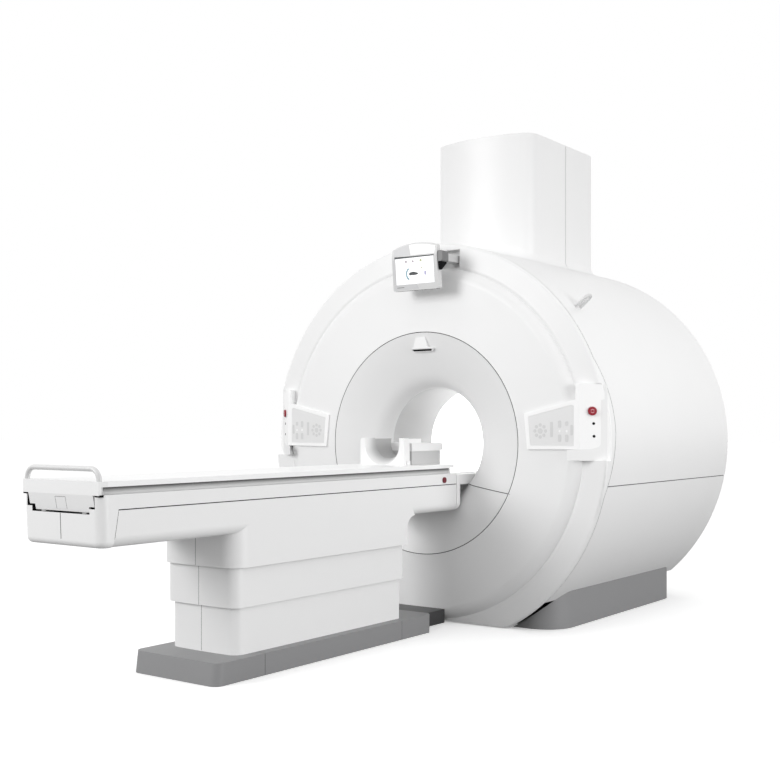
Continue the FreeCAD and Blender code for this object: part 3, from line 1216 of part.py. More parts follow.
on_floor(cut("cradle_cut", cradle, fuse("cradle_tools", cradle_trough, flare_cone)),
         "head_cradle")
connector = new_body("connector")
pad(connector, "XY_Plane", rectangle("-plug_half + 10", "plug_half - 10", "-284", "-24"),
    "table_height", "73")
pad(connector, "XY_Plane", rectangle("-plug_half", "plug_half", "-294", "-14"),
    "table_height + 72", "39")
cradle_room = block("cradle_room", "-cradle_body - seat_gap", "cradle_body + seat_gap", "-400",
                    "-166 + seat_gap", "table_height - 5", "1200")
connector_cut = cut("connector_cut", connector, cradle_room)
on_floor(connector_cut, "coil_connector")

# ---------------------------------------------------------------- checks and files
doc.recompute()
faults = [item.Name for item in doc.Objects if "Invalid" in item.State or "Error" in item.State]
for label, item in nodes.items():
    if item.Shape.isNull() or not item.Shape.isValid() or item.Shape.Volume <= 0:
        faults.append(label)
if faults:
    raise RuntimeError(f"failed: {faults}")
os.makedirs("parts", exist_ok=True)
for label, item in nodes.items():
    item.Shape.exportStep(f"parts/{label}.step")
    print(label, len(item.Shape.Solids), round(item.Shape.Volume / 1e6, 2))
print(len(nodes), "pieces")
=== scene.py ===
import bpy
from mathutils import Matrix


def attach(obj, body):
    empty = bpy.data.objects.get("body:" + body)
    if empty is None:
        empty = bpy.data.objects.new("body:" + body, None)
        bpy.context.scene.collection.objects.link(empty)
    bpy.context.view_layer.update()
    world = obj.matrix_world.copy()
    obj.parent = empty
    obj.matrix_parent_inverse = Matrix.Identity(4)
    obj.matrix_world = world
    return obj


bl_info = {
    "name": "Magnetic resonance scanner",
    "version": (1, 0, 0),
    "blender": (4, 5, 0),
    "location": "View3D > Sidebar > Scanner",
    "description": "Finishes, controls and small parts of a magnetic resonance scanner "
                   "and its table",
    "category": "Object",
}

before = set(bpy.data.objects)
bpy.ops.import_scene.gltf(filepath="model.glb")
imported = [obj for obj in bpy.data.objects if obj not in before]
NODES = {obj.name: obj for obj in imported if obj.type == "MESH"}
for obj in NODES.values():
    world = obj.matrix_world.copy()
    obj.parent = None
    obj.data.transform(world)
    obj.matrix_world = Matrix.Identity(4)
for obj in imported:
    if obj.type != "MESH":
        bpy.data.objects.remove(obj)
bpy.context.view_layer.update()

import math

import bmesh
import bpy
from mathutils import Matrix, Vector

RING_Y = -0.840          # front ring plane of the magnet, in metres
AXIS = 950               # bore axis over the floor, in millimetres
AXIS_Z = AXIS / 1000


def at(x, y, z):
    """A point in millimetres from the ring plane and the bore axis, in metres in the row frame."""
    return Vector((x / 1000, y / 1000 + RING_Y, z / 1000 + AXIS_Z))


# ------------------------------------------------------------------ settings


class ScannerColours(bpy.types.PropertyGroup):
    """Colours of the scanner's finishes."""

    def colour(name, note, value):
        return bpy.props.FloatVectorProperty(
            name=name, description=note, default=value, size=3, min=0, max=1, subtype="COLOR")

    cover: colour("Covers", "Moulded outer covers", (0.87, 0.87, 0.87))
    bright: colour("Bright parts", "Consoles and bore bridge", (0.97, 0.97, 0.97))
    funnel: colour("Funnel", "Moulded funnel of the bore", (0.83, 0.83, 0.83))
    # Painted shade: the front tube's grey stands for the shade on the front of the bore.
    tube: colour("Front tube", "Grey tube at the front of the bore", (0.50, 0.50, 0.50))
    cradle: colour("Cradle", "Head cradle outside its trough", (0.86, 0.86, 0.86))
    # Painted shade: the trough's grey stands for the shade inside the head cradle's trough; the
    # cradle itself is white.
    trough: colour("Trough", "Trough of the head cradle", (0.50, 0.50, 0.50))
    socket: colour("Socket", "Coil connector under its flange", (0.56, 0.56, 0.56))
    arm: colour("Arm", "Display arm", (0.17, 0.17, 0.172))
    # Painted shade: the recess grey colours the arm's bar inside the recess, standing for the
    # recess's shade.
    recess: colour("Recess", "Recess behind the display arm", (0.55, 0.55, 0.55))
    # Painted light: the liner glows to stand for the brightly lit back of the bore.
    liner: colour("Bore liner", "Lit liner of the bore", (0.97, 0.97, 0.97))
    plinth: colour("Plinths", "Dark plinths at the floor", (0.27, 0.27, 0.275))
    dark: colour("Dark plastic", "Dock at the magnet", (0.05, 0.05, 0.052))
    film: colour("Keypads", "Membrane of the keypads", (0.80, 0.80, 0.80))
    # Painted shade: this near-black fills the seams and gaps and darkens the display's underside
    # and the spot under its arm. The same finish also gives the jacks and the laser window their
    # real black.
    gap: colour("Gaps", "Seals in the gaps between the covers", (0.012, 0.012, 0.013))
    image: colour("Screen", "Lit screen of the display", (0.95, 0.96, 0.97))
    stop: colour("Stop buttons", "Red of the gantry's stop buttons", (0.30, 0.008, 0.022))
    table_stop: colour("Table stops", "Red of the table's stop buttons", (0.16, 0.010, 0.020))
    metal: colour("Metal", "Frames, columns and pipes", (0.55, 0.55, 0.56))
    tabletop: colour("Tabletop", "Patient tabletop", (0.95, 0.95, 0.95))
    belt: colour("Belt", "Drive belt", (0.03, 0.03, 0.03))
    # Painted shade: the display's housing is white, greyed here to stand for the shade on its
    # edges.
    housing: colour("Display rim", "Housing of the display", (0.68, 0.68, 0.68))
    resin: colour("Coil resin", "Resin of the body and gradient coils", (0.30, 0.27, 0.20))
    handle: colour("Handles", "Grab handle and lifting eyes", (0.70, 0.70, 0.70))
    del colour


class ScannerSizes(bpy.types.PropertyGroup):
    """Camera, light, the strips of painted shade in the seams, and edges."""

    lens: bpy.props.FloatProperty(
        name="Lens", description="Focal length of the camera", default=52.66, min=10,
        subtype="DISTANCE_CAMERA")
    azimuth: bpy.props.FloatProperty(
        name="Azimuth", description="Camera's turn about the upright",
        default=math.radians(36.4), subtype="ANGLE")
    camera_height: bpy.props.FloatProperty(
        name="Camera height", description="Camera over the floor", default=1.0496,
        subtype="DISTANCE")
    light: bpy.props.FloatProperty(
        name="Sky", description="Strength of the overhead light", default=1.0, min=0)
    # The seal recess is the depth of the dark strips of painted shade under the covers' faces.
    recess: bpy.props.FloatProperty(
        name="Seal recess", description="Depth of the seals under the covers' faces",
        default=0.001, min=0, subtype="DISTANCE")
    rounding: bpy.props.FloatProperty(
        name="Edge rounding", description="Small radius on the covers' edges", default=0.002,
        min=0, subtype="DISTANCE")


# ------------------------------------------------------------------ shader groups


def node_group(name, inputs, outputs):
    """An empty shader group with its sockets, each (name, type, default)."""
    group = bpy.data.node_groups.new(name, "ShaderNodeTree")
    for label, kind, default in inputs:
        socket = group.interface.new_socket(label, in_out="INPUT", socket_type=kind)
        socket.default_value = default
    for label, kind in outputs:
        group.interface.new_socket(label, in_out="OUTPUT", socket_type=kind)
    entry = group.nodes.new("NodeGroupInput")
    leave = group.nodes.new("NodeGroupOutput")
    return group, entry, leave


def moulded_tone():
    """Colour of a moulding that drifts a little over the surface."""
    group, entry, leave = node_group(
        "moulded_tone",
        [("Colour", "NodeSocketColor", (0.8, 0.8, 0.8, 1)), ("Drift", "NodeSocketFloat", 0.03),
         ("Scale", "NodeSocketFloat", 1.4)],
        [("Colour", "NodeSocketColor")])
    where = group.nodes.new("ShaderNodeTexCoord")
    cloud = group.nodes.new("ShaderNodeTexNoise")
    cloud.inputs["Detail"].default_value = 3
    group.links.new(where.outputs["Object"], cloud.inputs["Vector"])
    group.links.new(entry.outputs["Scale"], cloud.inputs["Scale"])
    shift = group.nodes.new("ShaderNodeMath")
    shift.operation = "SUBTRACT"
    shift.inputs[1].default_value = 0.5
    group.links.new(cloud.outputs["Fac"], shift.inputs[0])
    amount = group.nodes.new("ShaderNodeMath")
    amount.operation = "MULTIPLY_ADD"
    amount.inputs[2].default_value = 1.0
    group.links.new(shift.outputs[0], amount.inputs[0])
    group.links.new(entry.outputs["Drift"], amount.inputs[1])
    tint = group.nodes.new("ShaderNodeVectorMath")
    tint.operation = "SCALE"
    group.links.new(entry.outputs["Colour"], tint.inputs[0])
    group.links.new(amount.outputs[0], tint.inputs["Scale"])
    group.links.new(tint.outputs[0], leave.inputs["Colour"])
    return group


def moulded_grain():
    """Normal and roughness of a fine moulded or painted surface."""
    group, entry, leave = node_group(
        "moulded_grain",
        [("Roughness", "NodeSocketFloat", 0.4), ("Grain", "NodeSocketFloat", 900.0),
         ("Depth", "NodeSocketFloat", 0.15)],
        [("Normal", "NodeSocketVector"), ("Roughness", "NodeSocketFloat")])
    where = group.nodes.new("ShaderNodeTexCoord")
    grain = group.nodes.new("ShaderNodeTexNoise")
    grain.inputs["Detail"].default_value = 2
    group.links.new(where.outputs["Object"], grain.inputs["Vector"])
    group.links.new(entry.outputs["Grain"], grain.inputs["Scale"])
    bump = group.nodes.new("ShaderNodeBump")
    bump.inputs["Distance"].default_value = 0.0002
    group.links.new(entry.outputs["Depth"], bump.inputs["Strength"])
    group.links.new(grain.outputs["Fac"], bump.inputs["Height"])
    smear = group.nodes.new("ShaderNodeTexNoise")
    smear.inputs["Scale"].default_value = 7
    smear.inputs["Detail"].default_value = 4
    group.links.new(where.outputs["Object"], smear.inputs["Vector"])
    spread = group.nodes.new("ShaderNodeMapRange")
    spread.inputs["To Min"].default_value = -0.05
    spread.inputs["To Max"].default_value = 0.05
    group.links.new(smear.outputs["Fac"], spread.inputs["Value"])
    total = group.nodes.new("ShaderNodeMath")
    total.operation = "ADD"
    group.links.new(entry.outputs["Roughness"], total.inputs[0])
    group.links.new(spread.outputs["Result"], total.inputs[1])
    group.links.new(bump.outputs["Normal"], leave.inputs["Normal"])
    group.links.new(total.outputs[0], leave.inputs["Roughness"])
    return group


def zoned_colour():
    """Two colours, the inner one near a centre. Weights choose the axes that count."""
    group, entry, leave = node_group(
        "zoned_colour",
        [("Inner", "NodeSocketColor", (0.5, 0.5, 0.5, 1)),
         ("Outer", "NodeSocketColor", (0.8, 0.8, 0.8, 1)),
         ("Centre", "NodeSocketVector", (0, 0, 0)), ("Weights", "NodeSocketVector", (1, 1, 1)),
         ("Start", "NodeSocketFloat", 0.1), ("End", "NodeSocketFloat", 0.2)],
        [("Colour", "NodeSocketColor")])
    where = group.nodes.new("ShaderNodeTexCoord")
    steps = []
    for operation in ("SUBTRACT", "MULTIPLY", "LENGTH"):
        step = group.nodes.new("ShaderNodeVectorMath")
        step.operation = operation
        steps.append(step)
    group.links.new(where.outputs["Object"], steps[0].inputs[0])
    group.links.new(entry.outputs["Centre"], steps[0].inputs[1])
    group.links.new(steps[0].outputs[0], steps[1].inputs[0])
    group.links.new(entry.outputs["Weights"], steps[1].inputs[1])
    group.links.new(steps[1].outputs[0], steps[2].inputs[0])
    reach = group.nodes.new("ShaderNodeMapRange")
    reach.interpolation_type = "SMOOTHSTEP"
    group.links.new(steps[2].outputs["Value"], reach.inputs["Value"])
    group.links.new(entry.outputs["Start"], reach.inputs["From Min"])
    group.links.new(entry.outputs["End"], reach.inputs["From Max"])
    blend = group.nodes.new("ShaderNodeMix")
    blend.data_type = "RGBA"
    group.links.new(reach.outputs["Result"], blend.inputs[0])
    group.links.new(entry.outputs["Inner"], blend.inputs[6])
    group.links.new(entry.outputs["Outer"], blend.inputs[7])
    group.links.new(blend.outputs[2], leave.inputs["Colour"])
    return group


GROUPS = {}
FINISHES = {}


def shared(name):
    """A shader group, built when it is first asked for."""
    if name not in GROUPS:
        builders = {"tone": moulded_tone, "grain": moulded_grain, "zone": zoned_colour}
        GROUPS[name] = builders[name]()
    return GROUPS[name]


def finish_of(name, colour, roughness=0.4, metal=0.0, grain=900.0, depth=0.15, drift=0.03,
              scale=1.4, glow=0.0, zone=None, shine=0.5):
    """A procedural finish: drifting colour, fine grain and uneven gloss. A zone gives its outer
    colour, centre, weights, start and end."""
    material = FINISHES[name] = bpy.data.materials.new(name)
    material.use_nodes = True
    tree = material.node_tree
    body = tree.nodes["Principled BSDF"]
    tone = tree.nodes.new("ShaderNodeGroup")
    tone.node_tree = shared("tone")
    tone.inputs["Colour"].default_value = (*colour, 1)
    tone.inputs["Drift"].default_value = drift
    tone.inputs["Scale"].default_value = scale
    skin = tree.nodes.new("ShaderNodeGroup")
    skin.node_tree = shared("grain")
    skin.inputs["Roughness"].default_value = roughness
    skin.inputs["Grain"].default_value = grain
    skin.inputs["Depth"].default_value = depth
    if zone:
        outer, centre, weights, start, end = zone
        split = tree.nodes.new("ShaderNodeGroup")
        split.node_tree = shared("zone")
        split.inputs["Inner"].default_value = (*colour, 1)
        split.inputs["Outer"].default_value = (*outer, 1)
        split.inputs["Centre"].default_value = centre
        split.inputs["Weights"].default_value = weights
        split.inputs["Start"].default_value = start
        split.inputs["End"].default_value = end
        tree.links.new(split.outputs["Colour"], tone.inputs["Colour"])
    tree.links.new(tone.outputs["Colour"], body.inputs["Base Color"])
    tree.links.new(skin.outputs["Roughness"], body.inputs["Roughness"])
    tree.links.new(skin.outputs["Normal"], body.inputs["Normal"])
    body.inputs["Metallic"].default_value = metal
    body.inputs["Specular IOR Level"].default_value = shine
    if glow:
        tree.links.new(tone.outputs["Colour"], body.inputs["Emission Color"])
        body.inputs["Emission Strength"].default_value = glow
    return material


def dress(material, *names):
    """Gives CAD nodes a finish and smooth shading between their real edges."""
    for name in names:
        item = NODES[name]
        item.data.materials.clear()
        item.data.materials.append(material)
        soften(item)


def soften(item, angle=26):
    """Smooth shading where faces meet at less than an angle in degrees."""
    bpy.context.view_layer.objects.active = item
    for other in bpy.context.selected_objects:
        other.select_set(False)
    item.select_set(True)
    bpy.ops.object.shade_smooth_by_angle(angle=math.radians(angle))
    item.select_set(False)


# ------------------------------------------------------------------ building


def piece(name, mesh, body, finish):
    """A built mesh as a piece that rides a body."""
    item = bpy.data.objects.new(name, mesh)
    bpy.context.scene.collection.objects.link(item)
    mesh.materials.append(FINISHES[finish])
    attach(item, body)
    return item


def strips(name, body, paths, width, depth, finish="gap_shade_and_black", recess=1.0):
    """Dark strips along paths; with the default finish they are painted shade in the seams and
    gaps. Each path is (points, across, inward, closed), the two directions one for the whole path
    or one a point; the strip is width wide and goes depth in from recess."""
    shape = bmesh.new()
    for points, across, inward, closed in paths:
        rings = []
        for number, point in enumerate(points):
            side = Vector(across[number] if isinstance(across, list) else across).normalized()
            down = Vector(inward[number] if isinstance(inward, list) else inward).normalized()
            spot = Vector(point)
            corners = [spot + side * (width / 2) * a + down * (recess + depth * b)
                       for a, b in ((-1, 0), (1, 0), (1, 1), (-1, 1))]
            rings.append([shape.verts.new(at(*corner)) for corner in corners])
        pairs = list(zip(rings, rings[1:] + rings[:1]))
        if not closed:
            pairs.pop()
            shape.faces.new(rings[0])
            shape.faces.new(rings[-1])
        for first, second in pairs:
            for k in range(4):
                shape.faces.new((first[k], first[(k + 1) % 4], second[(k + 1) % 4], second[k]))
    bmesh.ops.recalc_face_normals(shape, faces=shape.faces)
    mesh = bpy.data.meshes.new(name)
    shape.to_mesh(mesh)
    shape.free()
    return piece(name, mesh, body, finish)


def plates(name, body, finish, slot, outlines, origin, right, up, thick, bevel=0.0, lean=None):
    """Thin plates on a plane. The plane stands at origin with its right and up directions, in
    millimetres, and each outline is a list of (right, up) points."""
    shape = bmesh.new()
    right = Vector(right).normalized()
    up = Vector(up).normalized()
    out = right.cross(up)
    for outline in outlines:
        flat = [Vector(origin) + right * a + up * b for a, b in outline]
        front = [shape.verts.new(at(*(spot + out * thick))) for spot in flat]
        back = [shape.verts.new(at(*spot)) for spot in flat]
        shape.faces.new(front)
        shape.faces.new(back[::-1])
        for k in range(len(flat)):
            after = (k + 1) % len(flat)
            shape.faces.new((front[after], front[k], back[k], back[after]))
    bmesh.ops.recalc_face_normals(shape, faces=shape.faces)
    if bevel:
        sharp = [edge for edge in shape.edges if edge.calc_face_angle(0) > 1.2]
        bmesh.ops.bevel(shape, geom=sharp, offset=bevel / 1000, segments=2, affect="EDGES")
    if lean is not None:
        bmesh.ops.transform(shape, matrix=lean, verts=shape.verts)
    mesh = bpy.data.meshes.new(name)
    shape.to_mesh(mesh)
    shape.free()
    item = piece(name, mesh, body, finish)
    soften(item, 35)
    return item


def ring(centre, radius, count=28, stretch=1.0, start=0.0, end=360.0):
    """Points round a circle or along an arc, as (right, up) pairs."""
    whole = end - start >= 360
    steps = count if whole else count - 1
    angles = [math.radians(start + (end - start) * k / steps) for k in range(count)]
    return [(centre[0] + radius * stretch * math.cos(a), centre[1] + radius * math.sin(a))
            for a in angles]


def band(centre, radius, thick, start, end, count=20):
    """Outline of a curved bar."""
    outer = ring(centre, radius + thick / 2, count, 1.0, start, end)
    inner = ring(centre, radius - thick / 2, count, 1.0, start, end)
    return outer + inner[::-1]


def round_edges(width, *names):
    """Breaks the hard edges of CAD nodes with a small radius."""
    for name in names:
        bevel = NODES[name].modifiers.new("edge", "BEVEL")
        bevel.width = width
        bevel.segments = 2
        bevel.limit_method = "ANGLE"
        bevel.angle_limit = math.radians(40)
        bevel.harden_normals = False


# ------------------------------------------------------------------ operators


CAMERA_PLACE = (3.5046, -5.8771)          # on the floor's plan, in metres
CAMERA_SHIFT = 0.0442                     # upright shift of the picture
FLOOR_REACH = 60                          # half the floor's width, in metres
FLOOR_GLOW, FLOOR_BOUNCE = 0.25, 0.32     # light it adds for the camera, tone for other rays
DOME = (0.58, 0.86)                       # strength under the horizon and overhead
LAMPS = (("key", (-5.5, -11.0, 5.0), (0, -1.2, 0.9), 5.0, 640),    # place, aim, size, watts
         ("side", (7.8, -1.2, 1.5), (0, -0.9, 0.8), 4.0, 270))


class SCANNER_OT_stage(bpy.types.Operator):
    """Camera at the photograph's place, pale floor and soft overhead light"""

    bl_idname = "scanner.stage"
    bl_label = "Stage"

    def execute(self, context):
        sizes = context.scene.scanner_sizes
        camera = bpy.data.objects.new("camera", bpy.data.cameras.new("camera"))
        context.scene.collection.objects.link(camera)
        camera.location = (*CAMERA_PLACE, sizes.camera_height)
        camera.rotation_euler = (math.radians(90), 0, sizes.azimuth)
        camera.data.lens = sizes.lens
        camera.data.sensor_width = 36
        camera.data.shift_y = CAMERA_SHIFT
        camera.data.clip_end = 200
        context.scene.camera = camera
        mesh = bpy.data.meshes.new("floor")
        corners = [(a * FLOOR_REACH, b * FLOOR_REACH, 0)
                   for a, b in ((-1, -1), (1, -1), (1, 1), (-1, 1))]
        mesh.from_pydata(corners, [], [(0, 1, 2, 3)])
        floor = bpy.data.objects.new("floor", mesh)
        context.scene.collection.objects.link(floor)
        floor.location.z = -0.001
        mesh.materials.append(self.floor_finish())
        self.sky(context, sizes.light)
        for lamp in LAMPS:
            self.lamp(context, *lamp)
        context.scene.view_settings.view_transform = "Standard"
        return {"FINISHED"}

    def floor_finish(self):
        """White that glows a little for the camera, grey for every other ray."""
        material = bpy.data.materials.new("floor_white")
        material.use_nodes = True
        tree = material.node_tree
        tree.nodes.clear()
        seen = tree.nodes.new("ShaderNodeBsdfDiffuse")
        seen.inputs["Color"].default_value = (1, 1, 1, 1)
        lit = tree.nodes.new("ShaderNodeEmission")
        lit.inputs["Color"].default_value = (1, 1, 1, 1)
        lit.inputs["Strength"].default_value = FLOOR_GLOW
        total = tree.nodes.new("ShaderNodeAddShader")
        tree.links.new(seen.outputs[0], total.inputs[0])
        tree.links.new(lit.outputs[0], total.inputs[1])
        other = tree.nodes.new("ShaderNodeBsdfDiffuse")
        other.inputs["Color"].default_value = (*[FLOOR_BOUNCE] * 3, 1)
        path = tree.nodes.new("ShaderNodeLightPath")
        mix = tree.nodes.new("ShaderNodeMixShader")
        out = tree.nodes.new("ShaderNodeOutputMaterial")
        tree.links.new(path.outputs["Is Camera Ray"], mix.inputs[0])
        tree.links.new(other.outputs[0], mix.inputs[1])
        tree.links.new(total.outputs[0], mix.inputs[2])
        tree.links.new(mix.outputs[0], out.inputs["Surface"])
        return material

    def sky(self, context, strength):
        """A dome that is brightest overhead, plain white to the camera."""
        world = bpy.data.worlds.new("studio")
        context.scene.world = world
        world.use_nodes = True
        tree = world.node_tree
        tree.nodes.clear()
        where = tree.nodes.new("ShaderNodeTexCoord")
        split = tree.nodes.new("ShaderNodeSeparateXYZ")
        ramp = tree.nodes.new("ShaderNodeMapRange")
        ramp.inputs["From Min"].default_value = -0.1
        ramp.inputs["From Max"].default_value = 1.0
        ramp.inputs["To Min"].default_value = DOME[0]
        ramp.inputs["To Max"].default_value = DOME[1]
        tree.links.new(where.outputs["Generated"], split.inputs[0])
        tree.links.new(split.outputs["Z"], ramp.inputs["Value"])
        dome = tree.nodes.new("ShaderNodeBackground")
        tree.links.new(ramp.outputs["Result"], dome.inputs["Strength"])
        plain = tree.nodes.new("ShaderNodeBackground")
        plain.inputs["Color"].default_value = (1, 1, 1, 1)
        path = tree.nodes.new("ShaderNodeLightPath")
        either = tree.nodes.new("ShaderNodeMath")
        either.operation = "MAXIMUM"
        tree.links.new(path.outputs["Is Camera Ray"], either.inputs[0])
        tree.links.new(path.outputs["Is Glossy Ray"], either.inputs[1])
        mix = tree.nodes.new("ShaderNodeMixShader")
        out = tree.nodes.new("ShaderNodeOutputWorld")
        tree.links.new(either.outputs[0], mix.inputs[0])
        tree.links.new(dome.outputs[0], mix.inputs[1])
        tree.links.new(plain.outputs[0], mix.inputs[2])
        tree.links.new(mix.outputs[0], out.inputs["Surface"])
        dome.inputs["Color"].default_value = (strength, strength, strength, 1)

    def lamp(self, context, name, place, aim, size, power):
        """An area light aimed at a point, unseen by the camera."""
        data = bpy.data.lights.new(name, "AREA")
        data.size = size
        data.energy = power
        lamp = bpy.data.objects.new(name, data)
        context.scene.collection.objects.link(lamp)
        lamp.location = place
        lamp.visible_camera = False
        lamp.rotation_euler = (Vector(aim) - Vector(place)).to_track_quat("-Z", "Y").to_euler()


class SCANNER_OT_finishes(bpy.types.Operator):
    """Finishes of the CAD pieces"""

    bl_idname = "scanner.finishes"
    bl_label = "Finishes"

    def execute(self, context):
        look = context.scene.scanner_colours
        cover = finish_of("cover_white", look.cover)
        dress(cover, "front_cover", "barrel_cover_upper", "barrel_cover_left",
              "barrel_cover_right", "rear_cover", "turret_front", "turret_rear", "turret_cap",
              "laser_pod", "lower_skirt_left", "lower_skirt_right", "middle_skirt_left",
              "middle_skirt_right", "side_cover_left", "side_cover_right", "surround_left",
              "surround_right", "tabletop_end_cap", "release_latch")
        # Painted shade: the housing's white is greyed.
        dress(finish_of("display_white_shaded", look.housing, 0.35), "display_housing")
        dress(finish_of("cover_bright", look.bright, 0.35), "console_left", "console_right",
              "bore_bridge")
        # Painted shade darkens the cradle's trough.
        dress(finish_of("cradle_white_trough_shade", look.trough, 0.45,
                        zone=(look.cradle, (0, 0, 0.952), (1, 0, 1), 0.078, 0.108)),
              "head_cradle")
        dress(finish_of("connector_white", look.socket, 0.4,
                        zone=(look.cover, (0, 0, 0), (0, 0, 1), 0.908, 0.916)),
              "coil_connector")
        # Painted light: the bore liner glows.
        dress(finish_of("bore_liner_lit", look.liner, 0.5, glow=0.9), "bore_liner")
        dress(finish_of("funnel_grey", look.funnel, 0.38), "funnel_upper", "funnel_lower")
        # Painted shade: grey of the front tube.
        dress(finish_of("tube_grey", look.tube, 0.42), "bore_front_tube")
        dress(finish_of("plinth_grey", look.plinth, 0.5, depth=0.3), "gantry_plinth",
              "plinth_foot_cap", "plinth_head_cap", "plinth_left", "plinth_right")
        dress(finish_of("dark_plastic", look.dark, 0.45, depth=0.3), "dock_block")
        # The arm keeps its dark grey; its bar inside the recess is painted recess shade.
        dress(finish_of("arm_grey_recess_shade", look.recess, 0.4,
                        zone=(look.arm, (0, 0, 0), (0, 1, 0), 0.893, 0.905)), "display_arm")
        dress(finish_of("screen_lit", look.image, 0.2, depth=0.0, glow=0.35),
              "display_screen")
        dress(finish_of("keypad_film", look.film, 0.3), "keypad_left", "keypad_right")
        dress(finish_of("stop_red", look.stop, 0.35, depth=0.0), "gantry_stop_left",
              "gantry_stop_right")
        dress(finish_of("stop_dark_red", look.table_stop, 0.5, depth=0.0), "table_stop_left",
              "table_stop_right")
        dress(finish_of("worked_metal", look.metal, 0.35, metal=1.0, grain=300), "table_frame",
              "lift_column_base", "lift_column_stage", "lift_column_ram", "drive_motor",
              "drive_pulley", "idler_pulley", "magnet_vessel", "magnet_feet", "quench_pipe",
              "cold_head")
        dress(finish_of("coil_resin", look.resin, 0.5), "body_coil", "gradient_coil")
        dress(finish_of("tabletop_white", look.tabletop, 0.32), "tabletop")
        dress(finish_of("rubber_black", look.belt, 0.7, grain=200), "drive_belt")
        # Near-black finish: painted shade in the seams and gaps, under the display and under its
        # arm, and the real black of the jacks and the laser window.
        finish_of("gap_shade_and_black", look.gap, 0.9, grain=200, shine=0.05)
        finish_of("seam_grey", (0.16, 0.16, 0.16), 0.7, grain=200)
        finish_of("groove_shade", (0.80, 0.80, 0.80), 0.7, grain=200,
                  zone=((0.10, 0.10, 0.10), (0, 0, 0), (0, 0, 1), 0.794, 0.822))
        round_edges(context.scene.scanner_sizes.rounding, "tabletop_end_cap", "turret_cap",
                    "lower_skirt_left", "lower_skirt_right", "middle_skirt_left",
                    "middle_skirt_right", "head_cradle", "coil_connector", "display_arm",
                    "plinth_foot_cap", "plinth_head_cap", "dock_block")
        round_edges(3 * context.scene.scanner_sizes.rounding, "display_housing")
        dress(finish_of("handle_grey", look.handle, 0.3), "grab_handle", "lifting_eyes")
        return {"FINISHED"}


GAP = 3.4                # width of the dark strips of painted shade in the seams between covers
FUNNEL_GAP = 3.2         # and of those round and across the funnel
SEAM_SHADE_DEPTH = 3.0
BARREL = 1075.0          # outer radius of the barrel covers
SPLIT = 205              # the barrel's side seam, this far under the axis
RIM_START, RIM_TURN = -61.4, 302.8    # the rim's strip of painted shade round the barrel, in degrees
FUNNEL_RIM = 596         # radius of the seal round the funnel
FUNNEL_FLAT = 157.0      # depth of the funnel's face inside its arcs
# Each arc of the funnel's face: inner radius, then its centre's radius and depth and its bend.
FUNNEL_ARCS = ((372.0, 744.5, 887.6, 900.0), (300.0, 425.0, 184.5, 128.0))


def funnel_depth(radius):
    """Depth of the front funnel's face at a radius."""
    for inner, centre, depth, bend in FUNNEL_ARCS:
        if radius >= inner:
            return depth - math.sqrt(bend ** 2 - (radius - centre) ** 2)
    return FUNNEL_FLAT


def lobe_depth(z):
    """Depth of the seam round the rim's side lobes at a height over the axis."""
    start, deepest, middle, high, low = 60.0, 128.0, 48.0, 430.0, -258.0
    if z >= high or z <= low:
        return start
    far, bend = (high, 888.0) if z > middle else (low, 1545.0)
    first, last = Vector((deepest, middle)), Vector((start, far))
    run = last - first
    turned = Vector((-run.y, run.x)).normalized()
    if turned.x > 0:
        turned = -turned
    centre = (first + last) / 2 + turned * math.sqrt(bend ** 2 - run.length ** 2 / 4)
    return centre.x + math.sqrt(bend ** 2 - (z - centre.y) ** 2)


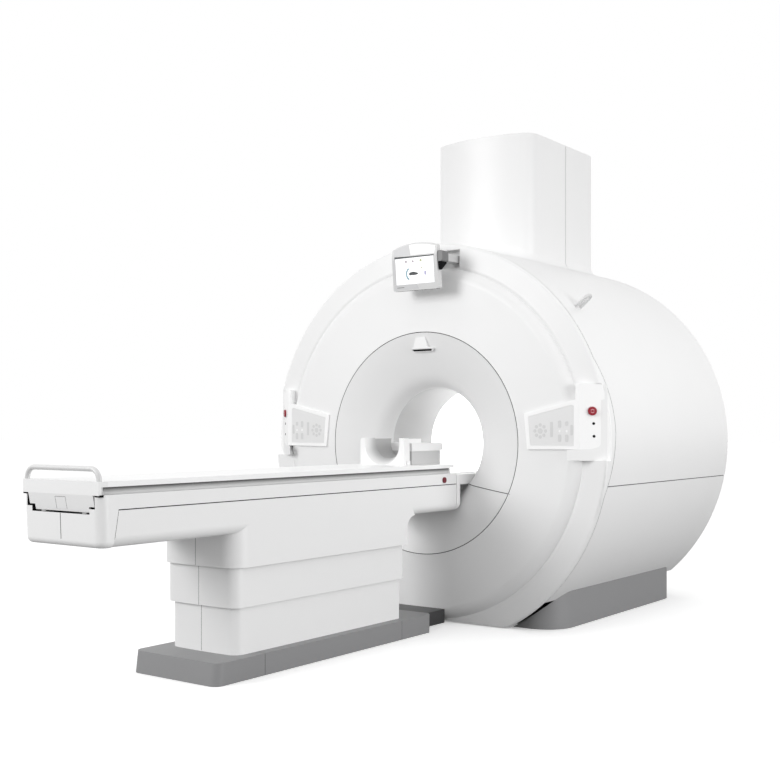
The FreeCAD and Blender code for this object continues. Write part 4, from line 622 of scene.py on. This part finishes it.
class SCANNER_OT_gantry_seam_shade(bpy.types.Operator):
    """Dark strips of painted shade in the gaps of the funnel, rim, barrel and turret"""

    bl_idname = "scanner.gantry_seals"
    bl_label = "Gantry seals"

    def execute(self, context):
        recess = context.scene.scanner_sizes.recess * 1000
        rim, inward = [], []
        for step in range(361):
            angle = math.radians(RIM_START + RIM_TURN * step / 360)
            x, z = BARREL * math.cos(angle), BARREL * math.sin(angle)
            rim.append((x, lobe_depth(z), z))
            inward.append((-x, 0, -z))
        strips("seam_shade_rim", "scanner", [(rim, (0, 1, 0), inward, False)], GAP, SEAM_SHADE_DEPTH,
               recess=recess)
        turns = [math.radians(3 * step) for step in range(120)]
        circle = [(FUNNEL_RIM * math.cos(a), 0, FUNNEL_RIM * math.sin(a)) for a in turns]
        outward = [(math.cos(a), 0, math.sin(a)) for a in turns]
        strips("seam_shade_funnel_ring", "scanner", [(circle, outward, (0, 1, 0), True)],
               FUNNEL_GAP, SEAM_SHADE_DEPTH, recess=recess)
        halves, barrel, turret = [], [], []
        for side in (-1, 1):
            halves.append((self.funnel_split(side), (side * 0.118, 0, 0.993), (0, 1, 0), False))
            x = math.sqrt(BARREL ** 2 - SPLIT ** 2)
            spots = [(side * x, y, -SPLIT) for y in (lobe_depth(-SPLIT) + 3, 600, 1100, 1660)]
            barrel.append((spots, (side * SPLIT, 0, x), (-side * x, 0, SPLIT), False))
            wall, facing = self.turret_wall(side)
            turret.append((wall, (0, 1, 0), facing, False))
        strips("seam_shade_funnel_split", "scanner", halves, FUNNEL_GAP, 8.0, recess=recess)
        strips("seam_shade_barrel", "scanner", barrel, GAP, SEAM_SHADE_DEPTH, recess=recess)
        strips("seam_shade_turret", "scanner", turret, GAP, SEAM_SHADE_DEPTH, recess=recess)
        return {"FINISHED"}

    def funnel_split(self, side):
        """The seam between the funnel's halves, falling a little to the outside."""
        inner, outer, steps = 234, 548, 24
        start, height, slope = 180, -211.7, 0.11904
        line = []
        for step in range(steps + 1):
            x = inner + (outer - inner) * step / steps
            z = height - (x - start) * slope
            line.append((side * x, funnel_depth(math.hypot(x, z)), z))
        return line

    def turret_wall(self, side):
        """The turret's seam down its wall and round the bend, and where it faces."""
        x, y, bend, reach, steps = 325, 1033, 55, 70.4, 8
        centre_x, centre_z = 380, 1064.2
        wall = [(side * x, y, z) for z in (1750, 1400, 1065)]
        facing = [(-side, 0, 0)] * len(wall)
        for step in range(1, steps + 1):
            turn = math.radians(180 + reach * step / steps)
            wall.append((side * (centre_x + bend * math.cos(turn)), y,
                         centre_z + bend * math.sin(turn)))
            facing.append((side * math.cos(turn), 0, math.sin(turn)))
        return wall, facing


class SCANNER_OT_table_seam_shade(bpy.types.Operator):
    """Dark strips of painted shade in the gaps of the table, its skirts and its plinth"""

    bl_idname = "scanner.table_seals"
    bl_label = "Table seals"

    def execute(self, context):
        recess = context.scene.scanner_sizes.recess * 1000
        sides, foot = [], []
        for side in (-1, 1):
            inward = (-side, 0, 0)
            level = 737 - AXIS
            sides.append(([(side * 230, -2264, level), (side * 230, -1200, level),
                           (side * 230, -10, level)], (0, 0, 1), inward, False))
            line, facing = [], []
            for z, x, tilt in [(736, 230, 0), (733, 230, 0), (690, 230, 0), (640, 230, 0)] + [
                    (640 - 42 * math.sin(t), 188 + 42 * math.cos(t), t)
                    for t in (0.25, 0.5, 0.75, 1.0, 1.25, 1.5)]:
                slant = -2267 - 24 * max(733 - z, 0) / 135
                line.append((side * x, slant, z - AXIS))
                facing.append((-side * math.cos(tilt), 0, math.sin(tilt)))
            foot.append((line, (0, 1, 0), facing, False))
        strips("seam_shade_side_covers", "table", sides, GAP, SEAM_SHADE_DEPTH, recess=recess)
        strips("seam_shade_end_cap", "table", foot, 2.0, SEAM_SHADE_DEPTH, recess=recess / 2)
        for name, body, y, low, high in (("seam_shade_upper_skirt", "table", -1662, 457, 597),
                                         ("seam_shade_middle_skirt", "stage", -1643, 289, 500),
                                         ("seam_shade_lower_skirt", "scanner", -1627, 93, 330)):
            spots = [(0, y, z - AXIS) for z in (low + 1, (low + high) / 2, high)]
            strips(name, body, [(spots, (1, 0, 0), (0, 1, 0), False)], 1.6, 2.0, recess=-0.15)
        ends = []
        for y in (-1503, -524):
            for side in (-1, 1):
                ends.append(([(side * 250, y, z) for z in (1 - AXIS, -900, -860)],
                             (0, 1, 0), (-side, 0, 0), False))
            ends.append(([(-248, y, -858), (0, y, -858), (248, y, -858)], (0, 1, 0),
                         (0, 0, -1), False))
        strips("seam_shade_plinth", "scanner", ends, 1.8, 1.5, recess=recess / 2)
        self.end_gap()
        self.lip_grooves()
        return {"FINISHED"}

    def end_gap(self):
        """Painted shade: dark linings of the stepped gap at the foot end, a dark strip on its
        centre seam and grey strips round the latch's gap.
        """
        fixed, moving = [], []
        for side in (-1, 1):
            for x, low, high in ((168, 722, 742), (198, 742, 786), (225, 786, 794)):
                fixed.append(([(side * x, -2349, (low + high) / 2 - AXIS),
                               (side * x, -2272, (low + high) / 2 - AXIS)], (0, 0, 1),
                              (-side, 0, 0), high - low))
            for inner, outer, high in ((0, 168, 722), (168, 198, 742), (198, 225, 786)):
                middle = side * (inner + outer) / 2
                fixed.append(([(middle, -2349, high - AXIS), (middle, -2272, high - AXIS)],
                              (1, 0, 0), (0, 0, 1), outer - inner))
            for x, low, high, front in ((158, 729, 749, -2336), (189, 750, 791, -2343)):
                moving.append(([(side * x, front, (low + high) / 2 - AXIS),
                                (side * x, -2314, (low + high) / 2 - AXIS)], (0, 0, 1),
                               (side, 0, 0), high - low))
        for number, (line, across, out, wide) in enumerate(fixed + moving):
            body = "table" if number < len(fixed) else "top"
            strips(f"gap_shade_plate_{number}", body, [(line, across, out, False)], wide, 0.5,
                   recess=0.05)
        seam = [(0, -2350, -229), (0, -2348, -280), (0, -2346.2, -326)]
        strips("seam_shade_end_centre", "table", [(seam, (1, 0, 0), (0, 1, 0), False)], 2.6, 2.0,
               recess=-0.3)
        rake = [(-2353 + 0.2 * (792 - h), h - AXIS) for h in (736, 782)]
        outline = [([(side * 30, rake[0][0], rake[0][1]), (side * 30, rake[1][0], rake[1][1])],
                    (1, 0, 0), (0, 1, 0), False) for side in (-1, 1)]
        outline.append(([(-30, rake[1][0], rake[1][1]), (30, rake[1][0], rake[1][1])],
                        (0, 0, 1), (0, 1, 0), False))
        # Painted shade: grey strips round the latch's gap.
        strips("seam_shade_latch", "top", outline, 1.6, 1.0, "seam_grey", recess=-0.2)

    def lip_grooves(self):
        """Shaded grooves under the tabletop's lip."""
        shape = []
        for side in (-1, 1):
            shape.append(([(side * 190, -2307, -143), (side * 190, -1150, -143),
                           (side * 190, -22, -143)], (0, 0, 1), (side, 0, 0), False))
        strips("groove_shade", "top", shape, 26, 0.6, "groove_shade", recess=0.05)


DISPLAY_PIVOT = (0, -111, 972)        # the display's tilt hinge
DISPLAY_LEAN = 5.5                    # its lean at rest, in degrees


class SCANNER_OT_display(bpy.types.Operator):
    """Picture on the screen, painted shade and painted highlight on its glass and bezel, its dark
    line, and dark plates of painted shade under the display and painted shadow under the arm
    """

    bl_idname = "scanner.display"
    bl_label = "Display"

    def execute(self, context):
        pivot = at(*DISPLAY_PIVOT)
        lean = (Matrix.Translation(pivot)
                @ Matrix.Rotation(math.radians(DISPLAY_LEAN), 4, "X")
                @ Matrix.Translation(-pivot))
        plane = dict(origin=(0, -127.0, 0), right=(1, 0, 0), up=(0, 0, 1), thick=0.35,
                     lean=lean)
        for name, tone in (("blue", (0.22, 0.40, 0.48)), ("dark", (0.05, 0.055, 0.06)),
                           ("pale", (0.50, 0.44, 0.48)), ("olive", (0.55, 0.58, 0.36)),
                           ("violet", (0.42, 0.40, 0.62))):
            finish_of("mark_" + name, tone, 0.4, depth=0.0)
        # Painted shade and painted highlight: a shaded and a lit copy of the glass's colour for
        # the display's bezel and top facet.
        finish_of("glass_painted_shade", (0.62, 0.62, 0.63), 0.35, depth=0.0)
        finish_of("glass_painted_highlight", (0.97, 0.97, 0.97), 0.30, depth=0.0)
        plates("screen_arc", "display", "mark_blue", "screen_glass",
               [band((22, 896), 34, 8, 122, 238)], **plane)
        plates("screen_figure", "display", "mark_dark", "screen_glass",
               [[(3, 898), (12, 904), (30, 907), (50, 903), (64, 898), (62, 893), (46, 889),
                 (12, 889), (3, 893)]], **plane)
        plates("screen_marks", "display", "mark_pale", "screen_glass",
               [ring((-12, 962), 7), ring((33, 961), 6)], **plane)
        plates("screen_mark_olive", "display", "mark_olive", "screen_glass",
               [ring((83, 963), 7), ring((85, 924), 4)], **plane)
        plates("screen_mark_violet", "display", "mark_violet", "screen_glass",
               [ring((108, 896), 12, 20, 0.45)], **plane)
        face = dict(origin=(0, -128, 0), right=(1, 0, 0), up=(0, 0, 1), thick=0.5, bevel=0.1,
                    lean=lean)
        plates("screen_line", "display", "mark_dark", "rubber_black",
               [[(-84, 981), (30, 981), (168, 982), (168, 987), (30, 988), (-84, 991)]], **face)
        # Painted shade on the left of the bezel's bottom and on its left side.
        plates("bezel_left", "display", "glass_painted_shade", "screen_glass",
               [[(-94, 815), (66, 815), (52, 840), (-94, 840)],
                [(-97, 844), (-84, 844), (-84, 975), (-97, 975)]], **face)
        plates("bezel_line", "display", "seam_grey", "screen_glass",
               [[(-76, 826), (-30, 826), (-30, 829), (-76, 829)]],
               **dict(face, thick=0.8, bevel=0.0))
        slope = (0, 20, 76)
        upper = dict(origin=(0, -128, 989), right=(1, 0, 0), up=slope, thick=0.5, bevel=0.1,
                     lean=lean)
        # Painted shade on the left of the top facet, painted highlight on its right.
        plates("glass_left", "display", "glass_painted_shade", "screen_glass",
               [[(-90, 5), (20, 5), (2, 62), (-40, 56), (-90, 40)]], **upper)
        plates("glass_right", "display", "glass_painted_highlight", "screen_glass",
               [[(21, 5), (172, 5), (172, 44), (120, 57), (60, 63), (3, 62)]], **upper)
        # Painted shade: a dark plate under the display.
        plates("display_underside_shade", "display", "gap_shade_and_black", "dark_plastic",
               [[(-92, -32), (176, -32), (176, -5), (-92, -5)]], origin=(0, -128, 809),
               right=(1, 0, 0), up=(0, -1, 0), thick=0.4, lean=lean)
        # Painted shadow: a dark plate under the arm.
        plates("arm_shadow_plate", "scanner", "gap_shade_and_black", "dark_plastic",
               [[(-119, 947.5), (-112, 903), (-66, 940), (-66, 947.5)]], origin=(190, 0, 0),
               right=(0, 1, 0), up=(0, 0, 1), thick=18, bevel=1.0)
        return {"FINISHED"}


KEY_RING = (728, 67, 30)              # middle and radius of a keypad's ring of keys
OUTER_FACE = (995.4, 28.8)            # a point on a console's slanted outer face
STOP_HEIGHT = 165                     # the gantry's stop buttons over the axis


class SCANNER_OT_controls(bpy.types.Operator):
    """Keys of the keypads, jacks and stop collars of the consoles, and the laser window"""

    bl_idname = "scanner.controls"
    bl_label = "Controls"

    def execute(self, context):
        finish_of("key_grey", (0.68, 0.68, 0.68), 0.4, depth=0.1)
        finish_of("panel_pale", (0.97, 0.97, 0.97), 0.3, depth=0.1)
        finish_of("button_mark", (0.62, 0.30, 0.33), 0.4, depth=0.0)
        for side, name in ((1, "right"), (-1, "left")):
            face = dict(origin=(0, -8.0, 0), right=(1, 0, 0), up=(0, 0, 1), thick=0.8,
                        bevel=0.25)
            middle, level, reach = KEY_RING
            keys = [ring((side * (middle + reach * math.cos(a)), level + reach * math.sin(a)),
                         9, 16)
                    for a in (math.radians(45 * k) for k in range(8))]
            keys.append(ring((side * middle, level), 14, 24))
            keys += [self.key(side * x, z, wide, high)
                     for x, z, wide, high in ((792, 75, 8, 38), (837, 101, 9, 18),
                                              (837, 32, 9, 18), (876, 104, 9, 11),
                                              (876, 32, 9, 18), (903, 72, 7, 26))]
            dots = [ring((side * x, z), 6, 20) for x, z in ((837, 67), (876, 67))]
            plates("dots_" + name, "scanner", "panel_pale", "keypad_film", dots, **face)
            plates("keys_" + name, "scanner", "key_grey", "keypad_film", keys, **face)
            self.outer_face(side, name)
        plates("laser_window", "scanner", "gap_shade_and_black", "dark_plastic",
               [[(-60, -6), (68, -6), (60, -18), (-52, -18)]], origin=(0, -4.2, 508),
               right=(1, 0, 0), up=(0, -18, 20), thick=0.5, bevel=0.15)
        return {"FINISHED"}

    def key(self, x, z, wide, high):
        """Outline of a key with rounded corners, wide and high being its half sizes."""
        spots, bend = [], 5
        for sx, sz, turn in ((1, 1, 0), (-1, 1, 90), (-1, -1, 180), (1, -1, 270)):
            for a in (0, 45, 90):
                angle = math.radians(turn + a)
                spots.append((x + sx * (wide - bend) + bend * math.cos(angle),
                              z + sz * (high - bend) + bend * math.sin(angle)))
        return spots

    def button_end(self, side, name):
        """A point in line with the stop button's outer end, just under it."""
        out = Vector((side * 0.6, -0.8, 0))
        x, y = OUTER_FACE
        reach = max((vertex.co - at(side * x, y, STOP_HEIGHT)).dot(out)
                    for vertex in NODES["gantry_stop_" + name].data.vertices) * 1000
        return Vector((side * x, y, 0)) + out * (reach - 0.1)

    def outer_face(self, side, name):
        """The stop's collar and mark, the aprons and the jacks on the slanted outer face."""
        right = Vector((side * 0.8, 0.6, 0)) * side
        plane = dict(origin=(side * OUTER_FACE[0], OUTER_FACE[1], 0), right=right,
                     up=(0, 0, 1))
        collar = band((0, STOP_HEIGHT), 25, 5, 0, 359.9, 40)
        plates("stop_collar_" + name, "scanner", "panel_pale", "cover_bright", [collar],
               thick=1.2, bevel=0.4, **plane)
        aprons = [[(106, -76), (137, -76), (137, 298), (123, 298), (123, 224), (106, 218)],
                  [(-60, -76), (105, -76), (105, 2), (96, -10), (60, -20), (-60, -24)]]
        aprons = [[(side * (a - 63), z) for a, z in outline] for outline in aprons]
        plates("console_apron_" + name, "scanner", "cover_white", "cover_white", aprons,
               thick=0.5, **plane)
        mark = [band((0, STOP_HEIGHT), 8, 4, start, start + 140) for start in (20, 200)]
        plates("stop_mark_" + name, "gantry_button_" + name, "button_mark", "stop_red", mark,
               thick=0.4, **dict(plane, origin=self.button_end(side, name)))
        jacks = [ring((side * 7, 104), 7), ring((side * 9, 42), 7)]
        plates("jacks_" + name, "scanner", "gap_shade_and_black", "dark_plastic", jacks, thick=0.6,
               bevel=0.2, **plane)


class SCANNER_PT_panel(bpy.types.Panel):
    """Lists the scanner's steps in the sidebar"""

    bl_label = "Scanner"
    bl_space_type = "VIEW_3D"
    bl_region_type = "UI"
    bl_category = "Scanner"

    def draw(self, context):
        for step in STEPS:
            self.layout.operator(step.bl_idname)
        for settings in (context.scene.scanner_colours, context.scene.scanner_sizes):
            for name in settings.bl_rna.properties.keys():
                if name not in ("rna_type", "name"):
                    self.layout.prop(settings, name)


STEPS = (SCANNER_OT_stage, SCANNER_OT_finishes, SCANNER_OT_gantry_seam_shade,
         SCANNER_OT_table_seam_shade, SCANNER_OT_display, SCANNER_OT_controls)
CLASSES = (ScannerColours, ScannerSizes, *STEPS, SCANNER_PT_panel)


def register():
    for item in CLASSES:
        bpy.utils.register_class(item)
    bpy.types.Scene.scanner_colours = bpy.props.PointerProperty(type=ScannerColours)
    bpy.types.Scene.scanner_sizes = bpy.props.PointerProperty(type=ScannerSizes)


def unregister():
    del bpy.types.Scene.scanner_sizes
    del bpy.types.Scene.scanner_colours
    for item in reversed(CLASSES):
        bpy.utils.unregister_class(item)


def main():
    register()
    bpy.ops.scanner.stage()
    bpy.ops.scanner.finishes()
    bpy.ops.scanner.gantry_seals()
    bpy.ops.scanner.table_seals()
    bpy.ops.scanner.display()
    bpy.ops.scanner.controls()


if __name__ == "__main__":
    main()
